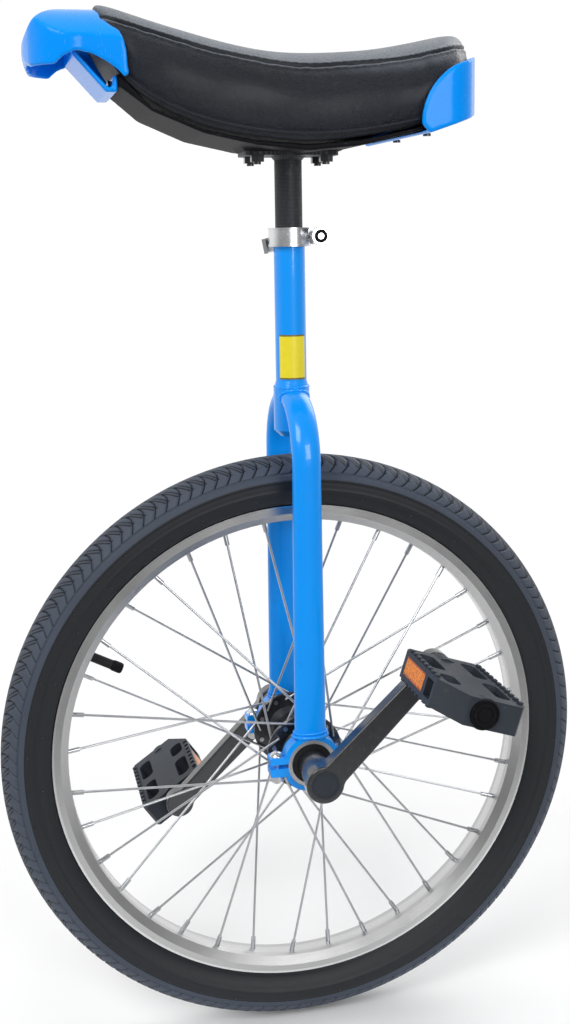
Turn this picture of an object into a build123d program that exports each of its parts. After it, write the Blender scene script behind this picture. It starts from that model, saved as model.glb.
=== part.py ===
from build123d import *
import math
import os

os.makedirs("parts", exist_ok=True)

# A 20 inch unicycle. Millimetres, +Z up, wheel axle along X, front towards -Y.
# The origin is on the ground under the axle. Angles about the axle run from +Y towards +Z.

# Wheel
TYRE_R = 249.0
TYRE_WIDTH = 46.0
TREAD_WALL = 5.5
SIDE_WALL = 2.8
BEAD_SEAT_R = 203.0
RIM_WIDTH = 28.6
RIM_EDGE_R = 208.3
RIM_FLANGE = 1.7
RIM_WALL = 1.8
RIM_BED_R = 200.0
RIM_FLOOR_R = 194.4
TAPE_THICKNESS = 1.2
TUBE_WALL = 1.2
SPOKE_R = 1.0
SPOKES_PER_SET = 9
SPOKE_PHASE = 7.6
SPOKE_CROSSING = 60.0
SPOKE_HEAD_R = 1.9
OUTER_ELBOW = 1.7
SPOKE_HEAD = 1.2
NIPPLE_R = 1.95
NIPPLE_HEAD_R = 2.9
NIPPLE_LENGTH = 11.5
NIPPLE_DEPTH = 8.0
VALVE_ANGLE = 152.6
VALVE_R = 3.9
VALVE_CAP_R = 4.3
VALVE_REACH_R = 167.0

# Hub, spindle and bearings
FLANGE_X = 28.0
FLANGE = 3.2
FLANGE_R = 32.0
SPOKE_CIRCLE_R = 27.0
HUB_BARREL_R = 16.0
HUB_HALF = 37.0
SPINDLE_R = 8.5
COLLAR_R = 10.8
SPACER_R = 12.0
BEARING_X = 50.0
BEARING_R = 20.0
BEARING_WIDTH = 12.0
BALL_COUNT = 8
BALL_R = 3.4
BALL_CIRCLE_R = 14.25
TAPER_LARGE = 13.4
TAPER_SMALL = 12.6
TAPER_CORNER = 2.5

# Cranks
CRANK_LENGTH = 127.0
CRANK_ANGLE = 44.2
CRANK_IN_X = 73.0
CRANK_OUT_X = 101.5
CRANK_ARM = 12.5
CRANK_BOSS_R = 15.5
CRANK_EYE_R = 12.5
ARM_WIDTH_BOSS = 22.0
ARM_WIDTH_EYE = 17.0
EXTRACTOR_R = 11.2
BOLT_SEAT_X = 90.0
CRANK_BOLT_R = 4.0
DUST_CAP = 2.5

# Pedals
PEDAL_IN_X = 105.5
PEDAL_LENGTH = 102.0
PEDAL_HALF_WIDTH = 31.0
PEDAL_HALF_HEIGHT = 11.0
PEDAL_TILT_LEFT = 18.0
PEDAL_TILT_RIGHT = -35.0
PEDAL_RAIL = 7.0
PEDAL_TOOTH = 1.8
AXLE_THREAD_R = 7.1
AXLE_COLLAR_R = 8.8
AXLE_INNER_R = 6.0
AXLE_OUTER_R = 5.0
PEDAL_BORE_R = 8.5
BUSH_LENGTH = 14.0
REFLECTOR_LENGTH = 42.0
REFLECTOR_HEIGHT = 14.0
REFLECTOR_DEPTH = 3.0

# Frame
TUBE_R = 12.7
POST_R = 11.1
TUBE_TOP_Z = 682.0
CROWN_R = 14.8
CROWN_TOP_Z = 553.0
CROWN_BOTTOM_Z = 514.0
BORE_BOTTOM_Z = 518.0
LEG_X = 50.0
LEG_BEND_Z = 497.0
LEG_THICKNESS = 15.0
LEG_WIDTH_TOP = 23.4
LEG_WIDTH_BOTTOM = 26.3
LEG_WALL = 1.6
HOLDER_WIDTH = 13.0
HOLDER_WALL = 3.2
HOLDER_GAP = 3.5
EAR_REACH = 35.0
EAR_FLAT = 12.6
EAR_UPPER = 6.0
EAR_LOWER = 7.0
CAP_BOLT_Y = 28.6
CAP_BOLT_R = 2.95
CAP_BOLT_HEAD_R = 5.8
CAP_BOLT_HEAD = 3.8
SLOT_WIDTH = 2.0
SLOT_DEPTH = 25.0
LABEL_BOTTOM_Z = 561.5
LABEL_HEIGHT = 36.5

# Seat clamp
CLAMP_BOTTOM_Z = 669.0
CLAMP_HEIGHT = 15.0
CLAMP_R = 16.8
CLAMP_LIP = 0.5
SKEWER_Y = 21.5
SKEWER_Z = 677.0
SKEWER_R = 2.5
EAR_GAP = 3.0
EAR_OUT_X = 9.0
LEVER_X = -18.0
LEVER_PIN_R = 4.0
LEVER_HEAD_R = 7.0
LEVER_SLOT = 6.0
LEVER_HEIGHT = 12.0
LEVER_WALL = 3.0
LEVER_DROOP = 11.0

# Seat post and saddle
POST_BOTTOM_Z = 575.0
POST_WALL = 1.8
PLATE_TOP_Z = 743.5
PLATE = 3.0
PLATE_LENGTH = 76.0
PLATE_WIDTH = 44.0
STUD_X = 14.0
STUD_Y = 28.0
STUD_R = 3.0
NUT_HEIGHT = 5.0
BASE_INSET = 5.0
COVER_THICKNESS = 1.6
PAD_CORNER_R = 14.0
# Each saddle station: Y, top of the pad, lower edge of the pad, half width, depth of the base.
SADDLE_STATIONS = [
    (-148, 852, 817, 38, 0),
    (-138, 851, 800, 50, 10),
    (-114, 843, 774, 57, 3),
    (-76, 831, 758, 60, 3),
    (-36, 822, 750, 61, 3.6),
    (4, 818, 747, 64, 5),
    (44, 820, 750, 71, 4.4),
    (84, 826, 758, 80, 2.8),
    (118, 832, 768, 79, 2.8),
    (136, 834, 782, 47, 0),
    (142, 833, 796, 34, 0),
]
HANDLE_WALL = 3.6
HANDLE_HALF_WIDTH = 59.0
HANDLE_TIP_Y = -206.0
HANDLE_ARCH_R = 74.5
HANDLE_ARCH_Z = 775.0
TONGUE_HALF_WIDTH = 44.0
BUMPER_WALL = 4.0
BUMPER_HALF_WIDTH = 88.0
BUMPER_REAR_Y = 151.0
SCREW_R = 2.0
SCREW_HEAD_R = 3.2
SCREW_HEAD = 2.2
HANDLE_SCREW_X = 22.0
HANDLE_SCREW_Z = 792.2
HANDLE_SCREW_DEPTH = 4.0
BUMPER_SCREW_X = 40.0
BUMPER_SCREW_Y = 104.0
BUMPER_FLOOR_Z = 756.0
BUMPER_SCREW_REACH = 7.2

# Clearances
FIT = 0.05
SEAT_GAP = 0.3
LOOSE = 0.2

AXLE_Z = TYRE_R
AXLE = Axis((0, 0, AXLE_Z), (1, 0, 0))
AXLE_PLANE = Plane(origin=(0, 0, AXLE_Z), x_dir=(1, 0, 0), z_dir=(0, -1, 0))
SIDES = [("left", 1), ("right", -1)]


def across(x, angle=0.0):
    """A plane square to the axle at x, with its own x turned by the angle."""
    turn = math.radians(angle)
    return Plane(origin=(x, 0, AXLE_Z), x_dir=(0, math.cos(turn), math.sin(turn)), z_dir=(1, 0, 0))


def turned(angle):
    """The place of a wheel-centred shape turned about the axle."""
    return Location((0, 0, AXLE_Z), (angle, 0, 0))


def write(piece, node):
    """Labels a finished piece and writes its STEP file."""
    piece.part.label = node
    export_step(piece.part, f"parts/{node}.step")


def ring(inner, outer, near, far, side=1):
    """A turned sleeve about the axle between two distances along it."""
    with BuildPart() as sleeve:
        with BuildSketch(AXLE_PLANE):
            with BuildLine():
                Polyline(
                    (side * near, inner),
                    (side * far, inner),
                    (side * far, outer),
                    (side * near, outer),
                    close=True,
                )
            make_face()
        revolve(axis=AXLE)
    return sleeve


# ---------------------------------------------------------------- tyre, tube, tape and rim
CASING_R = TYRE_WIDTH / 2
CASING_CENTRE = TYRE_R - CASING_R
FLANGE_IN = RIM_WIDTH / 2 - RIM_FLANGE
BEAD_OUT = FLANGE_IN - LOOSE
BEAD_IN = BEAD_OUT - 3.6
BEAD_R = BEAD_SEAT_R + LOOSE
TAPE_HALF = BEAD_IN - 1.2
TAPE_TOP_R = RIM_BED_R + TAPE_THICKNESS + FIT


def cavity(gap):
    """The outline of the air space in the tyre, drawn in by a gap."""
    half = CASING_R - SIDE_WALL - gap
    top = TYRE_R - TREAD_WALL - gap
    neck = BEAD_IN - gap
    neck_r = BEAD_R + 4.0
    floor = TAPE_HALF - 0.5 - gap
    flank_r = (neck_r + CASING_CENTRE) / 2
    flank = half - 2.9
    with BuildLine() as outline:
        ThreePointArc((-half, CASING_CENTRE), (0, top), (half, CASING_CENTRE))
        ThreePointArc((half, CASING_CENTRE), (flank, flank_r), (neck, neck_r))
        Polyline(
            (neck, neck_r),
            (neck, BEAD_R + 0.8),
            (floor, TAPE_TOP_R + gap),
            (-floor, TAPE_TOP_R + gap),
            (-neck, BEAD_R + 0.8),
            (-neck, neck_r),
        )
        ThreePointArc((-neck, neck_r), (-flank, flank_r), (-half, CASING_CENTRE))
    return outline.line


with BuildPart() as tyre:
    with BuildSketch(AXLE_PLANE):
        with BuildLine():
            shoulder_r = RIM_EDGE_R + 1.2
            shoulder = math.sqrt(CASING_R**2 - (CASING_CENTRE - shoulder_r) ** 2)
            ThreePointArc((-shoulder, shoulder_r), (0, TYRE_R), (shoulder, shoulder_r))
            Polyline(
                (shoulder, shoulder_r),
                (BEAD_OUT, RIM_EDGE_R + SEAT_GAP),
                (BEAD_OUT, BEAD_R),
                (-BEAD_OUT, BEAD_R),
                (-BEAD_OUT, RIM_EDGE_R + SEAT_GAP),
                (-shoulder, shoulder_r),
            )
        make_face()
        with BuildLine():
            add(cavity(0))
        make_face(mode=Mode.SUBTRACT)
    revolve(axis=AXLE)
write(tyre, "tyre")

valve_line = Plane(across(0, VALVE_ANGLE).location * Location((0, 0, 0), (0, 90, 0)))

with BuildPart() as inner_tube:
    with BuildSketch(AXLE_PLANE):
        with BuildLine():
            add(cavity(SEAT_GAP))
        make_face()
        offset(amount=-TUBE_WALL, mode=Mode.SUBTRACT)
    revolve(axis=AXLE)
    with BuildSketch(valve_line.offset(RIM_BED_R)):
        Circle(VALVE_R + FIT)
    extrude(amount=6, mode=Mode.SUBTRACT)
write(inner_tube, "inner_tube")

with BuildPart() as rim_tape:
    with BuildSketch(AXLE_PLANE):
        with BuildLine():
            Polyline(
                (-TAPE_HALF, RIM_BED_R + FIT),
                (TAPE_HALF, RIM_BED_R + FIT),
                (TAPE_HALF, TAPE_TOP_R),
                (-TAPE_HALF, TAPE_TOP_R),
                close=True,
            )
        make_face()
    revolve(axis=AXLE)
    with BuildSketch(valve_line.offset(RIM_FLOOR_R)):
        Circle(VALVE_R + SEAT_GAP)
    extrude(amount=12, mode=Mode.SUBTRACT)
write(rim_tape, "rim_tape")


def elbow_lift(trailing):
    """How far a spoke's elbow stands from the middle of its flange."""
    return FLANGE / 2 + SPOKE_R + (OUTER_ELBOW if trailing else FIT)


def spoke_ends(side, trailing):
    """Elbow and rim seat of one spoke of a set, about an axle through the origin."""
    rim_angle = SPOKE_PHASE + (0 if side > 0 else 10) + (0 if trailing else 20)
    hub_angle = rim_angle + (-SPOKE_CROSSING if trailing else SPOKE_CROSSING)
    elbow_x = side * (FLANGE_X + (elbow_lift(trailing) if trailing else -elbow_lift(trailing)))
    hub_turn = math.radians(hub_angle)
    rim_turn = math.radians(rim_angle)
    seat_r = RIM_FLOOR_R + RIM_WALL
    elbow = Vector(elbow_x, SPOKE_CIRCLE_R * math.cos(hub_turn), SPOKE_CIRCLE_R * math.sin(hub_turn))
    seat = Vector(side * 2.0, seat_r * math.cos(rim_turn), seat_r * math.sin(rim_turn))
    return elbow, seat


def set_turns():
    """The places of the spokes of one set."""
    return [turned(k * 360 / SPOKES_PER_SET) for k in range(SPOKES_PER_SET)]


def nipple_places():
    """Every nipple's seat, with local z along the spoke towards the hub."""
    places = []
    for side in (1, -1):
        for trailing in (True, False):
            elbow, seat = spoke_ends(side, trailing)
            seat_plane = Plane(origin=seat, z_dir=elbow - seat)
            places += [turn * seat_plane.location for turn in set_turns()]
    return places


NIPPLES = nipple_places()
NIPPLE_LIFT = 0.65

with BuildPart() as rim:
    with BuildSketch(AXLE_PLANE):
        rim_edge = RIM_WIDTH / 2
        well = TAPE_HALF + LOOSE
        foot = rim_edge - 4.6
        side_r = BEAD_SEAT_R - 1.6
        with BuildLine():
            Polyline(
                (well, RIM_BED_R),
                (BEAD_IN - FIT, BEAD_SEAT_R),
                (FLANGE_IN, BEAD_SEAT_R),
                (FLANGE_IN, RIM_EDGE_R),
                (rim_edge, RIM_EDGE_R),
                (rim_edge, side_r),
                (foot, RIM_FLOOR_R + 0.6),
            )
            ThreePointArc((foot, RIM_FLOOR_R + 0.6), (0, RIM_FLOOR_R), (-foot, RIM_FLOOR_R + 0.6))
            Polyline(
                (-foot, RIM_FLOOR_R + 0.6),
                (-rim_edge, side_r),
                (-rim_edge, RIM_EDGE_R),
                (-FLANGE_IN, RIM_EDGE_R),
                (-FLANGE_IN, BEAD_SEAT_R),
                (-BEAD_IN + FIT, BEAD_SEAT_R),
                (-well, RIM_BED_R),
                (well, RIM_BED_R),
            )
        make_face()
        with BuildLine():
            chamber_floor = RIM_FLOOR_R + RIM_WALL
            chamber_top = RIM_BED_R - 1.5
            Polyline(
                (-foot + 0.6, chamber_floor),
                (foot - 0.6, chamber_floor),
                (rim_edge - RIM_WALL, side_r - 0.4),
                (well + 0.4, chamber_top),
                (-well - 0.4, chamber_top),
                (-rim_edge + RIM_WALL, side_r - 0.4),
                close=True,
            )
        make_face(mode=Mode.SUBTRACT)
    revolve(axis=AXLE)
    with Locations(*[place * Location((0, 0, 0.6)) for place in NIPPLES]):
        Cylinder(NIPPLE_R + LOOSE / 2, 5.0, mode=Mode.SUBTRACT)
    with Locations(*[place * Location((0, 0, -4.0)) for place in NIPPLES]):
        Cylinder(NIPPLE_HEAD_R + SEAT_GAP, 5.0, mode=Mode.SUBTRACT)
    with BuildSketch(valve_line.offset(RIM_FLOOR_R - 3)):
        Circle(VALVE_R + SEAT_GAP)
    extrude(amount=12, mode=Mode.SUBTRACT)
write(rim, "rim")

with BuildPart() as nipple:
    with Locations((0, 0, -NIPPLE_LIFT - 1.0)):
        Cylinder(NIPPLE_HEAD_R, 2.0)
    with Locations((0, 0, (NIPPLE_LENGTH - NIPPLE_LIFT) / 2)):
        Cylinder(NIPPLE_R, NIPPLE_LENGTH + NIPPLE_LIFT)
    with Locations((0, 0, NIPPLE_LENGTH - NIPPLE_DEPTH / 2)):
        Cylinder(SPOKE_R + FIT, NIPPLE_DEPTH, mode=Mode.SUBTRACT)

with BuildPart() as nipples:
    with Locations(*NIPPLES):
        add(nipple.part)
write(nipples, "nipples")


def one_spoke(side, trailing):
    """A spoke with its elbow and head, about an axle through the origin."""
    elbow, seat = spoke_ends(side, trailing)
    run = (seat - elbow).length - NIPPLE_LENGTH + NIPPLE_DEPTH - 0.5
    run_plane = Plane(origin=elbow, z_dir=seat - elbow)
    head_way = -side if trailing else side
    stub = elbow_lift(trailing) + FLANGE / 2
    head_start = elbow + Vector(head_way * (stub + FIT), 0, 0)
    with BuildPart() as spoke:
        with BuildSketch(run_plane):
            Circle(SPOKE_R)
        extrude(amount=run)
        with Locations(elbow):
            Sphere(SPOKE_R)
        with BuildSketch(Plane(origin=elbow, z_dir=(head_way, 0, 0))):
            Circle(SPOKE_R)
        extrude(amount=stub + SPOKE_HEAD)
        with BuildSketch(Plane(origin=head_start, z_dir=(head_way, 0, 0))):
            Circle(SPOKE_HEAD_R)
        extrude(amount=SPOKE_HEAD)
    return spoke.part


for side_name, side in SIDES:
    trailing_spoke = one_spoke(side, True)
    leading_spoke = one_spoke(side, False)
    with BuildPart() as spokes:
        with Locations(*set_turns()):
            add(trailing_spoke)
            add(leading_spoke)
    write(spokes, f"spokes_{side_name}")

with BuildPart() as stem:
    with BuildSketch(valve_line.offset(VALVE_REACH_R + 8)):
        Circle(VALVE_R)
    extrude(amount=BEAD_R + 1.0 - VALVE_REACH_R - 8)
write(stem, "valve_stem")

with BuildPart() as valve_cap:
    with BuildSketch(valve_line.offset(VALVE_REACH_R)):
        Circle(VALVE_CAP_R)
        with PolarLocations(VALVE_CAP_R, 12):
            Circle(0.35)
    extrude(amount=8 - FIT)
    fillet(valve_cap.faces().sort_by(Axis((0, 0, AXLE_Z), valve_line.z_dir))[0].edges(), 0.3)
write(valve_cap, "valve_cap")

# ---------------------------------------------------------------- hub and spindle
with BuildPart() as hub:
    with BuildSketch(AXLE_PLANE):
        flange_in = FLANGE_X - FLANGE / 2
        flange_out = FLANGE_X + FLANGE / 2
        with BuildLine():
            Polyline(
                (0, SPINDLE_R + FIT),
                (HUB_HALF, SPINDLE_R + FIT),
                (HUB_HALF, HUB_BARREL_R - 1.5),
                (flange_out + 2, HUB_BARREL_R + 1),
                (flange_out, HUB_BARREL_R + 4),
                (flange_out, FLANGE_R - 0.8),
                (flange_out - 0.8, FLANGE_R),
                (flange_in + 0.8, FLANGE_R),
                (flange_in, FLANGE_R - 0.8),
                (flange_in, HUB_BARREL_R + 4),
                (flange_in - 5, HUB_BARREL_R),
                (0, HUB_BARREL_R),
                close=True,
            )
        make_face()
        mirror(about=Plane.YZ)
    revolve(axis=AXLE)
    for side in (1, -1):
        for trailing in (True, False):
            elbow, seat = spoke_ends(side, trailing)
            hole = Plane(origin=(side * FLANGE_X, elbow.Y, elbow.Z), z_dir=(1, 0, 0))
            with Locations(*[turn * hole.location for turn in set_turns()]):
                Cylinder(SPOKE_R + LOOSE, FLANGE + 1, mode=Mode.SUBTRACT)
write(hub, "hub_shell")

SPINDLE_END_X = BOLT_SEAT_X - 1.5
BEARING_IN_X = BEARING_X - BEARING_WIDTH / 2
BEARING_OUT_X = BEARING_X + BEARING_WIDTH / 2


def square_taper(side, start, end, grow):
    """The tapered square on a spindle end, or its socket when grown by a clearance."""
    lean = (TAPER_LARGE - TAPER_SMALL) / (SPINDLE_END_X - CRANK_IN_X)
    with BuildPart() as taper:
        for x in (start, end):
            width = TAPER_LARGE - lean * (x - CRANK_IN_X) + 2 * grow
            with BuildSketch(across(side * x, CRANK_ANGLE)):
                RectangleRounded(width, width, TAPER_CORNER)
        loft()
    return taper.part


SPINDLE_TAPERS = [square_taper(side, CRANK_IN_X - 1.0, SPINDLE_END_X, 0) for side in (1, -1)]
CRANK_SOCKETS = {side: square_taper(side, CRANK_IN_X - 1.0, BOLT_SEAT_X + 1.0, FIT) for side in (1, -1)}

with BuildPart() as spindle:
    with BuildSketch(AXLE_PLANE):
        with BuildLine():
            shoulder_x = HUB_HALF + SEAT_GAP
            Polyline(
                (0, 0),
                (CRANK_IN_X - 0.5, 0),
                (CRANK_IN_X - 0.5, SPINDLE_R),
                (BEARING_IN_X - FIT, SPINDLE_R),
                (BEARING_IN_X - FIT, COLLAR_R),
                (shoulder_x, COLLAR_R),
                (shoulder_x, SPINDLE_R),
                (0, SPINDLE_R),
                close=True,
            )
        make_face()
        mirror(about=Plane.YZ)
    revolve(axis=AXLE)
    add(SPINDLE_TAPERS)
    for side in (1, -1):
        with BuildSketch(across(side * (CRANK_IN_X - 8))):
            Circle(CRANK_BOLT_R + FIT)
        extrude(amount=side * (SPINDLE_END_X - CRANK_IN_X + 9), mode=Mode.SUBTRACT)
write(spindle, "spindle")

# ---------------------------------------------------------------- bearings and spacers
RACE_INNER_R = 11.6
RACE_OUTER_R = 16.9

for side_name, side in SIDES:
    for race, low, high in (
        ("inner", SPINDLE_R + FIT, RACE_INNER_R),
        ("outer", RACE_OUTER_R, BEARING_R),
    ):
        with BuildPart() as bearing_race:
            with BuildSketch(AXLE_PLANE):
                with Locations((side * BEARING_X, (low + high) / 2)):
                    Rectangle(BEARING_WIDTH, high - low)
                with Locations((side * BEARING_X, BALL_CIRCLE_R)):
                    Circle(BALL_R + FIT, mode=Mode.SUBTRACT)
            revolve(axis=AXLE)
        write(bearing_race, f"bearing_{race}_{side_name}")
    with BuildPart() as balls:
        with Locations(*[turned(k * 360 / BALL_COUNT) for k in range(BALL_COUNT)]):
            with Locations((side * BEARING_X, BALL_CIRCLE_R, 0)):
                Sphere(BALL_R)
    write(balls, f"bearing_balls_{side_name}")
    seal_starts = (BEARING_IN_X + 0.4, BEARING_OUT_X - 1.4)
    seal_pair = [ring(RACE_INNER_R + LOOSE, RACE_OUTER_R - FIT, x, x + 1.0, side).part for x in seal_starts]
    with BuildPart() as seals:
        add(seal_pair)
    write(seals, f"bearing_seals_{side_name}")
    spacer = ring(SPINDLE_R + FIT, SPACER_R, BEARING_OUT_X + SEAT_GAP, CRANK_IN_X - SEAT_GAP, side)
    write(spacer, f"spacer_{side_name}")

# ---------------------------------------------------------------- cranks
for side_name, side in SIDES:
    crank_angle = CRANK_ANGLE if side > 0 else CRANK_ANGLE + 180
    with BuildPart() as crank:
        with BuildSketch(across(side * CRANK_OUT_X, crank_angle)):
            Circle(CRANK_BOSS_R)
            with Locations((CRANK_LENGTH, 0)):
                Circle(CRANK_EYE_R)
            with BuildLine():
                Polyline(
                    (0, -ARM_WIDTH_BOSS / 2),
                    (CRANK_LENGTH, -ARM_WIDTH_EYE / 2),
                    (CRANK_LENGTH, ARM_WIDTH_EYE / 2),
                    (0, ARM_WIDTH_BOSS / 2),
                    close=True,
                )
            make_face()
        extrude(amount=-side * CRANK_ARM)
        fillet(crank.edges().filter_by(Axis.X), 9.0)
        rims = crank.faces().filter_by(Axis.X)
        fillet(rims.edges(), 1.6)
        with BuildSketch(across(side * (CRANK_OUT_X - CRANK_ARM + 2), crank_angle)):
            Circle(CRANK_BOSS_R - 1.6)
        extrude(amount=-side * (CRANK_OUT_X - CRANK_ARM + 2 - CRANK_IN_X), taper=3)
        add(CRANK_SOCKETS[side], mode=Mode.SUBTRACT)
        with BuildSketch(across(side * BOLT_SEAT_X)):
            Circle(EXTRACTOR_R)
        extrude(amount=side * 20, mode=Mode.SUBTRACT)
        with BuildSketch(across(side * (CRANK_OUT_X + 1), crank_angle)):
            with Locations((CRANK_LENGTH, 0)):
                Circle(AXLE_THREAD_R + FIT)
        extrude(amount=-side * (CRANK_ARM + 2), mode=Mode.SUBTRACT)
    write(crank, f"crank_{side_name}")
    with BuildPart() as dust_cap:
        with BuildSketch(across(side * (CRANK_OUT_X + 0.6))):
            Circle(EXTRACTOR_R - FIT)
        extrude(amount=-side * DUST_CAP)
        with BuildSketch(across(side * (CRANK_OUT_X + 0.2))):
            Circle(EXTRACTOR_R - 1.4)
        extrude(amount=side, mode=Mode.SUBTRACT)
    write(dust_cap, f"dust_cap_{side_name}")

with BuildPart() as crank_bolts:
    for side in (1, -1):
        with BuildSketch(across(side * (CRANK_IN_X - 6))):
            Circle(CRANK_BOLT_R)
        extrude(amount=side * (BOLT_SEAT_X - CRANK_IN_X + 7))
        with BuildSketch(across(side * (BOLT_SEAT_X + FIT))):
            Circle(EXTRACTOR_R - 1.5)
        extrude(amount=side * 1.8)
        with BuildSketch(across(side * (BOLT_SEAT_X + 1))):
            RegularPolygon(7.0, 6, major_radius=False)
        extrude(amount=side * 6.5)
write(crank_bolts, "crank_bolts")


# ---------------------------------------------------------------- pedals
def pedal_plane(side):
    """The pedal's own plane: x outboard along its axle, z square to its tread."""
    angle = math.radians(CRANK_ANGLE if side > 0 else CRANK_ANGLE + 180)
    tilt = math.radians(PEDAL_TILT_LEFT if side > 0 else PEDAL_TILT_RIGHT)
    centre = (side * PEDAL_IN_X, CRANK_LENGTH * math.cos(angle), AXLE_Z + CRANK_LENGTH * math.sin(angle))
    return Plane(origin=centre, x_dir=(side, 0, 0), z_dir=(0, math.sin(tilt), math.cos(tilt)))


def pedal_round(plane, start, length, radius, mode=Mode.ADD):
    """A cylinder on the pedal's axle."""
    with Locations(plane.location * Location((start + length / 2, 0, 0), (0, 90, 0))):
        Cylinder(radius, length, mode=mode)


WINDOW_IN = 11.5
CHAMFER_IN = 74.0
CHAMFER_WIDTH = 14.0
BUSH_OUT_START = 80.0
AXLE_NUT_START = BUSH_OUT_START + BUSH_LENGTH + LOOSE

for side_name, side in SIDES:
    plane = pedal_plane(side)
    with BuildPart() as pedal:
        with BuildSketch(plane.offset(-PEDAL_HALF_HEIGHT)):
            with BuildLine():
                Polyline(
                    (0, -PEDAL_HALF_WIDTH + 3),
                    (4, -PEDAL_HALF_WIDTH),
                    (CHAMFER_IN, -PEDAL_HALF_WIDTH),
                    (PEDAL_LENGTH, -CHAMFER_WIDTH),
                    (PEDAL_LENGTH, PEDAL_HALF_WIDTH - 3),
                    (PEDAL_LENGTH - 4, PEDAL_HALF_WIDTH),
                    (4, PEDAL_HALF_WIDTH),
                    (0, PEDAL_HALF_WIDTH - 3),
                    close=True,
                )
            make_face()
        extrude(amount=2 * PEDAL_HALF_HEIGHT)
        window_out = PEDAL_HALF_WIDTH - PEDAL_RAIL
        with BuildSketch(plane.offset(-PEDAL_HALF_HEIGHT)):
            for start, end in ((9.0, 44.0), (56.0, 90.0)):
                for sign in (1, -1):
                    far = end if sign > 0 else min(end, CHAMFER_IN + 4)
                    with Locations(((start + far) / 2, sign * (window_out + WINDOW_IN) / 2)):
                        RectangleRounded(far - start, window_out - WINDOW_IN, 5)
        extrude(amount=2 * PEDAL_HALF_HEIGHT, mode=Mode.SUBTRACT)
        for face in (1, -1):
            start_height = PEDAL_HALF_HEIGHT if face > 0 else -PEDAL_HALF_HEIGHT
            with BuildSketch(plane.offset(start_height)):
                for sign, count, middle in ((1, 11, 51.0), (-1, 8, 39.0)):
                    with Locations((middle, sign * (PEDAL_HALF_WIDTH - 2.2))):
                        with GridLocations(8.4, 1, count, 1):
                            Rectangle(4.4, 3.4)
            extrude(amount=face * PEDAL_TOOTH)
        pedal_round(plane, 0, 13, 12.5)
        pedal_round(plane, PEDAL_LENGTH - 8, 8, 12.0)
        rail_mid = (PEDAL_HALF_WIDTH + window_out) / 2
        for sign in (1, -1):
            with Locations(plane.location * Location((64, sign * rail_mid, 0))):
                Box(13, PEDAL_RAIL + 4, REFLECTOR_HEIGHT, mode=Mode.SUBTRACT)
            with Locations(plane.location * Location((31, sign * (PEDAL_HALF_WIDTH - REFLECTOR_DEPTH / 2), 0))):
                Box(
                    REFLECTOR_LENGTH + 2 * FIT,
                    REFLECTOR_DEPTH + 2 * FIT,
                    REFLECTOR_HEIGHT + 2 * FIT,
                    mode=Mode.SUBTRACT,
                )
        pedal_round(plane, -1, BUSH_LENGTH + 1, PEDAL_BORE_R, Mode.SUBTRACT)
        pedal_round(plane, -1, PEDAL_LENGTH + 2, AXLE_INNER_R + 1, Mode.SUBTRACT)
        pedal_round(plane, BUSH_OUT_START, PEDAL_LENGTH, PEDAL_BORE_R, Mode.SUBTRACT)
    write(pedal, f"pedal_body_{side_name}")

    with BuildPart() as reflectors:
        for sign in (1, -1):
            with Locations(plane.location * Location((31, sign * (PEDAL_HALF_WIDTH - REFLECTOR_DEPTH / 2), 0))):
                Box(REFLECTOR_LENGTH, REFLECTOR_DEPTH, REFLECTOR_HEIGHT)
    write(reflectors, f"pedal_reflectors_{side_name}")

    with BuildPart() as bushes:
        pedal_round(plane, 0.3, BUSH_LENGTH - 0.4, PEDAL_BORE_R - FIT / 2)
        pedal_round(plane, BUSH_OUT_START + 0.1, BUSH_LENGTH - 0.4, PEDAL_BORE_R - FIT / 2)
        pedal_round(plane, 0, BUSH_LENGTH + 1, AXLE_INNER_R + FIT, Mode.SUBTRACT)
        pedal_round(plane, BUSH_OUT_START, BUSH_LENGTH + 1, AXLE_OUTER_R + FIT, Mode.SUBTRACT)
    write(bushes, f"pedal_bushes_{side_name}")

    with BuildPart() as end_cap:
        pedal_round(plane, PEDAL_LENGTH + FIT, 2.0, 11.0)
        pedal_round(plane, PEDAL_LENGTH - 1.6, 2.0, PEDAL_BORE_R - FIT)
        for groove_r in (9.2, 5.6):
            with Locations(plane.location * Location((PEDAL_LENGTH + 2.0, 0, 0), (0, 90, 0))):
                Torus(groove_r, 0.6, mode=Mode.SUBTRACT)
    write(end_cap, f"pedal_end_cap_{side_name}")

    with BuildPart() as pedal_axle:
        into_crank = PEDAL_IN_X - CRANK_OUT_X + CRANK_ARM - 0.5
        pedal_round(plane, -into_crank, into_crank, AXLE_THREAD_R)
        pedal_round(plane, CRANK_OUT_X - PEDAL_IN_X + FIT, PEDAL_IN_X - CRANK_OUT_X - 0.5, AXLE_COLLAR_R)
        pedal_round(plane, -1, BUSH_LENGTH + 6, AXLE_INNER_R)
        pedal_round(plane, 10, AXLE_NUT_START - 10, AXLE_OUTER_R)
        pedal_round(plane, AXLE_NUT_START - 4, 9.0, AXLE_OUTER_R - 1.5)
    write(pedal_axle, f"pedal_axle_{side_name}")

with BuildPart() as axle_nuts:
    for side in (1, -1):
        nut_plane = Plane(pedal_plane(side).location * Location((AXLE_NUT_START + FIT, 0, 0), (0, 90, 0)))
        with BuildSketch(nut_plane):
            RegularPolygon(6.0, 6, major_radius=False)
            Circle(AXLE_OUTER_R - 1.5 + FIT, mode=Mode.SUBTRACT)
        extrude(amount=4)
write(axle_nuts, "pedal_axle_nuts")

# ---------------------------------------------------------------- fork frame
HOLDER_R = BEARING_R + HOLDER_WALL
LEG_FOOT_Z = AXLE_Z + HOLDER_R - 1.0


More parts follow.
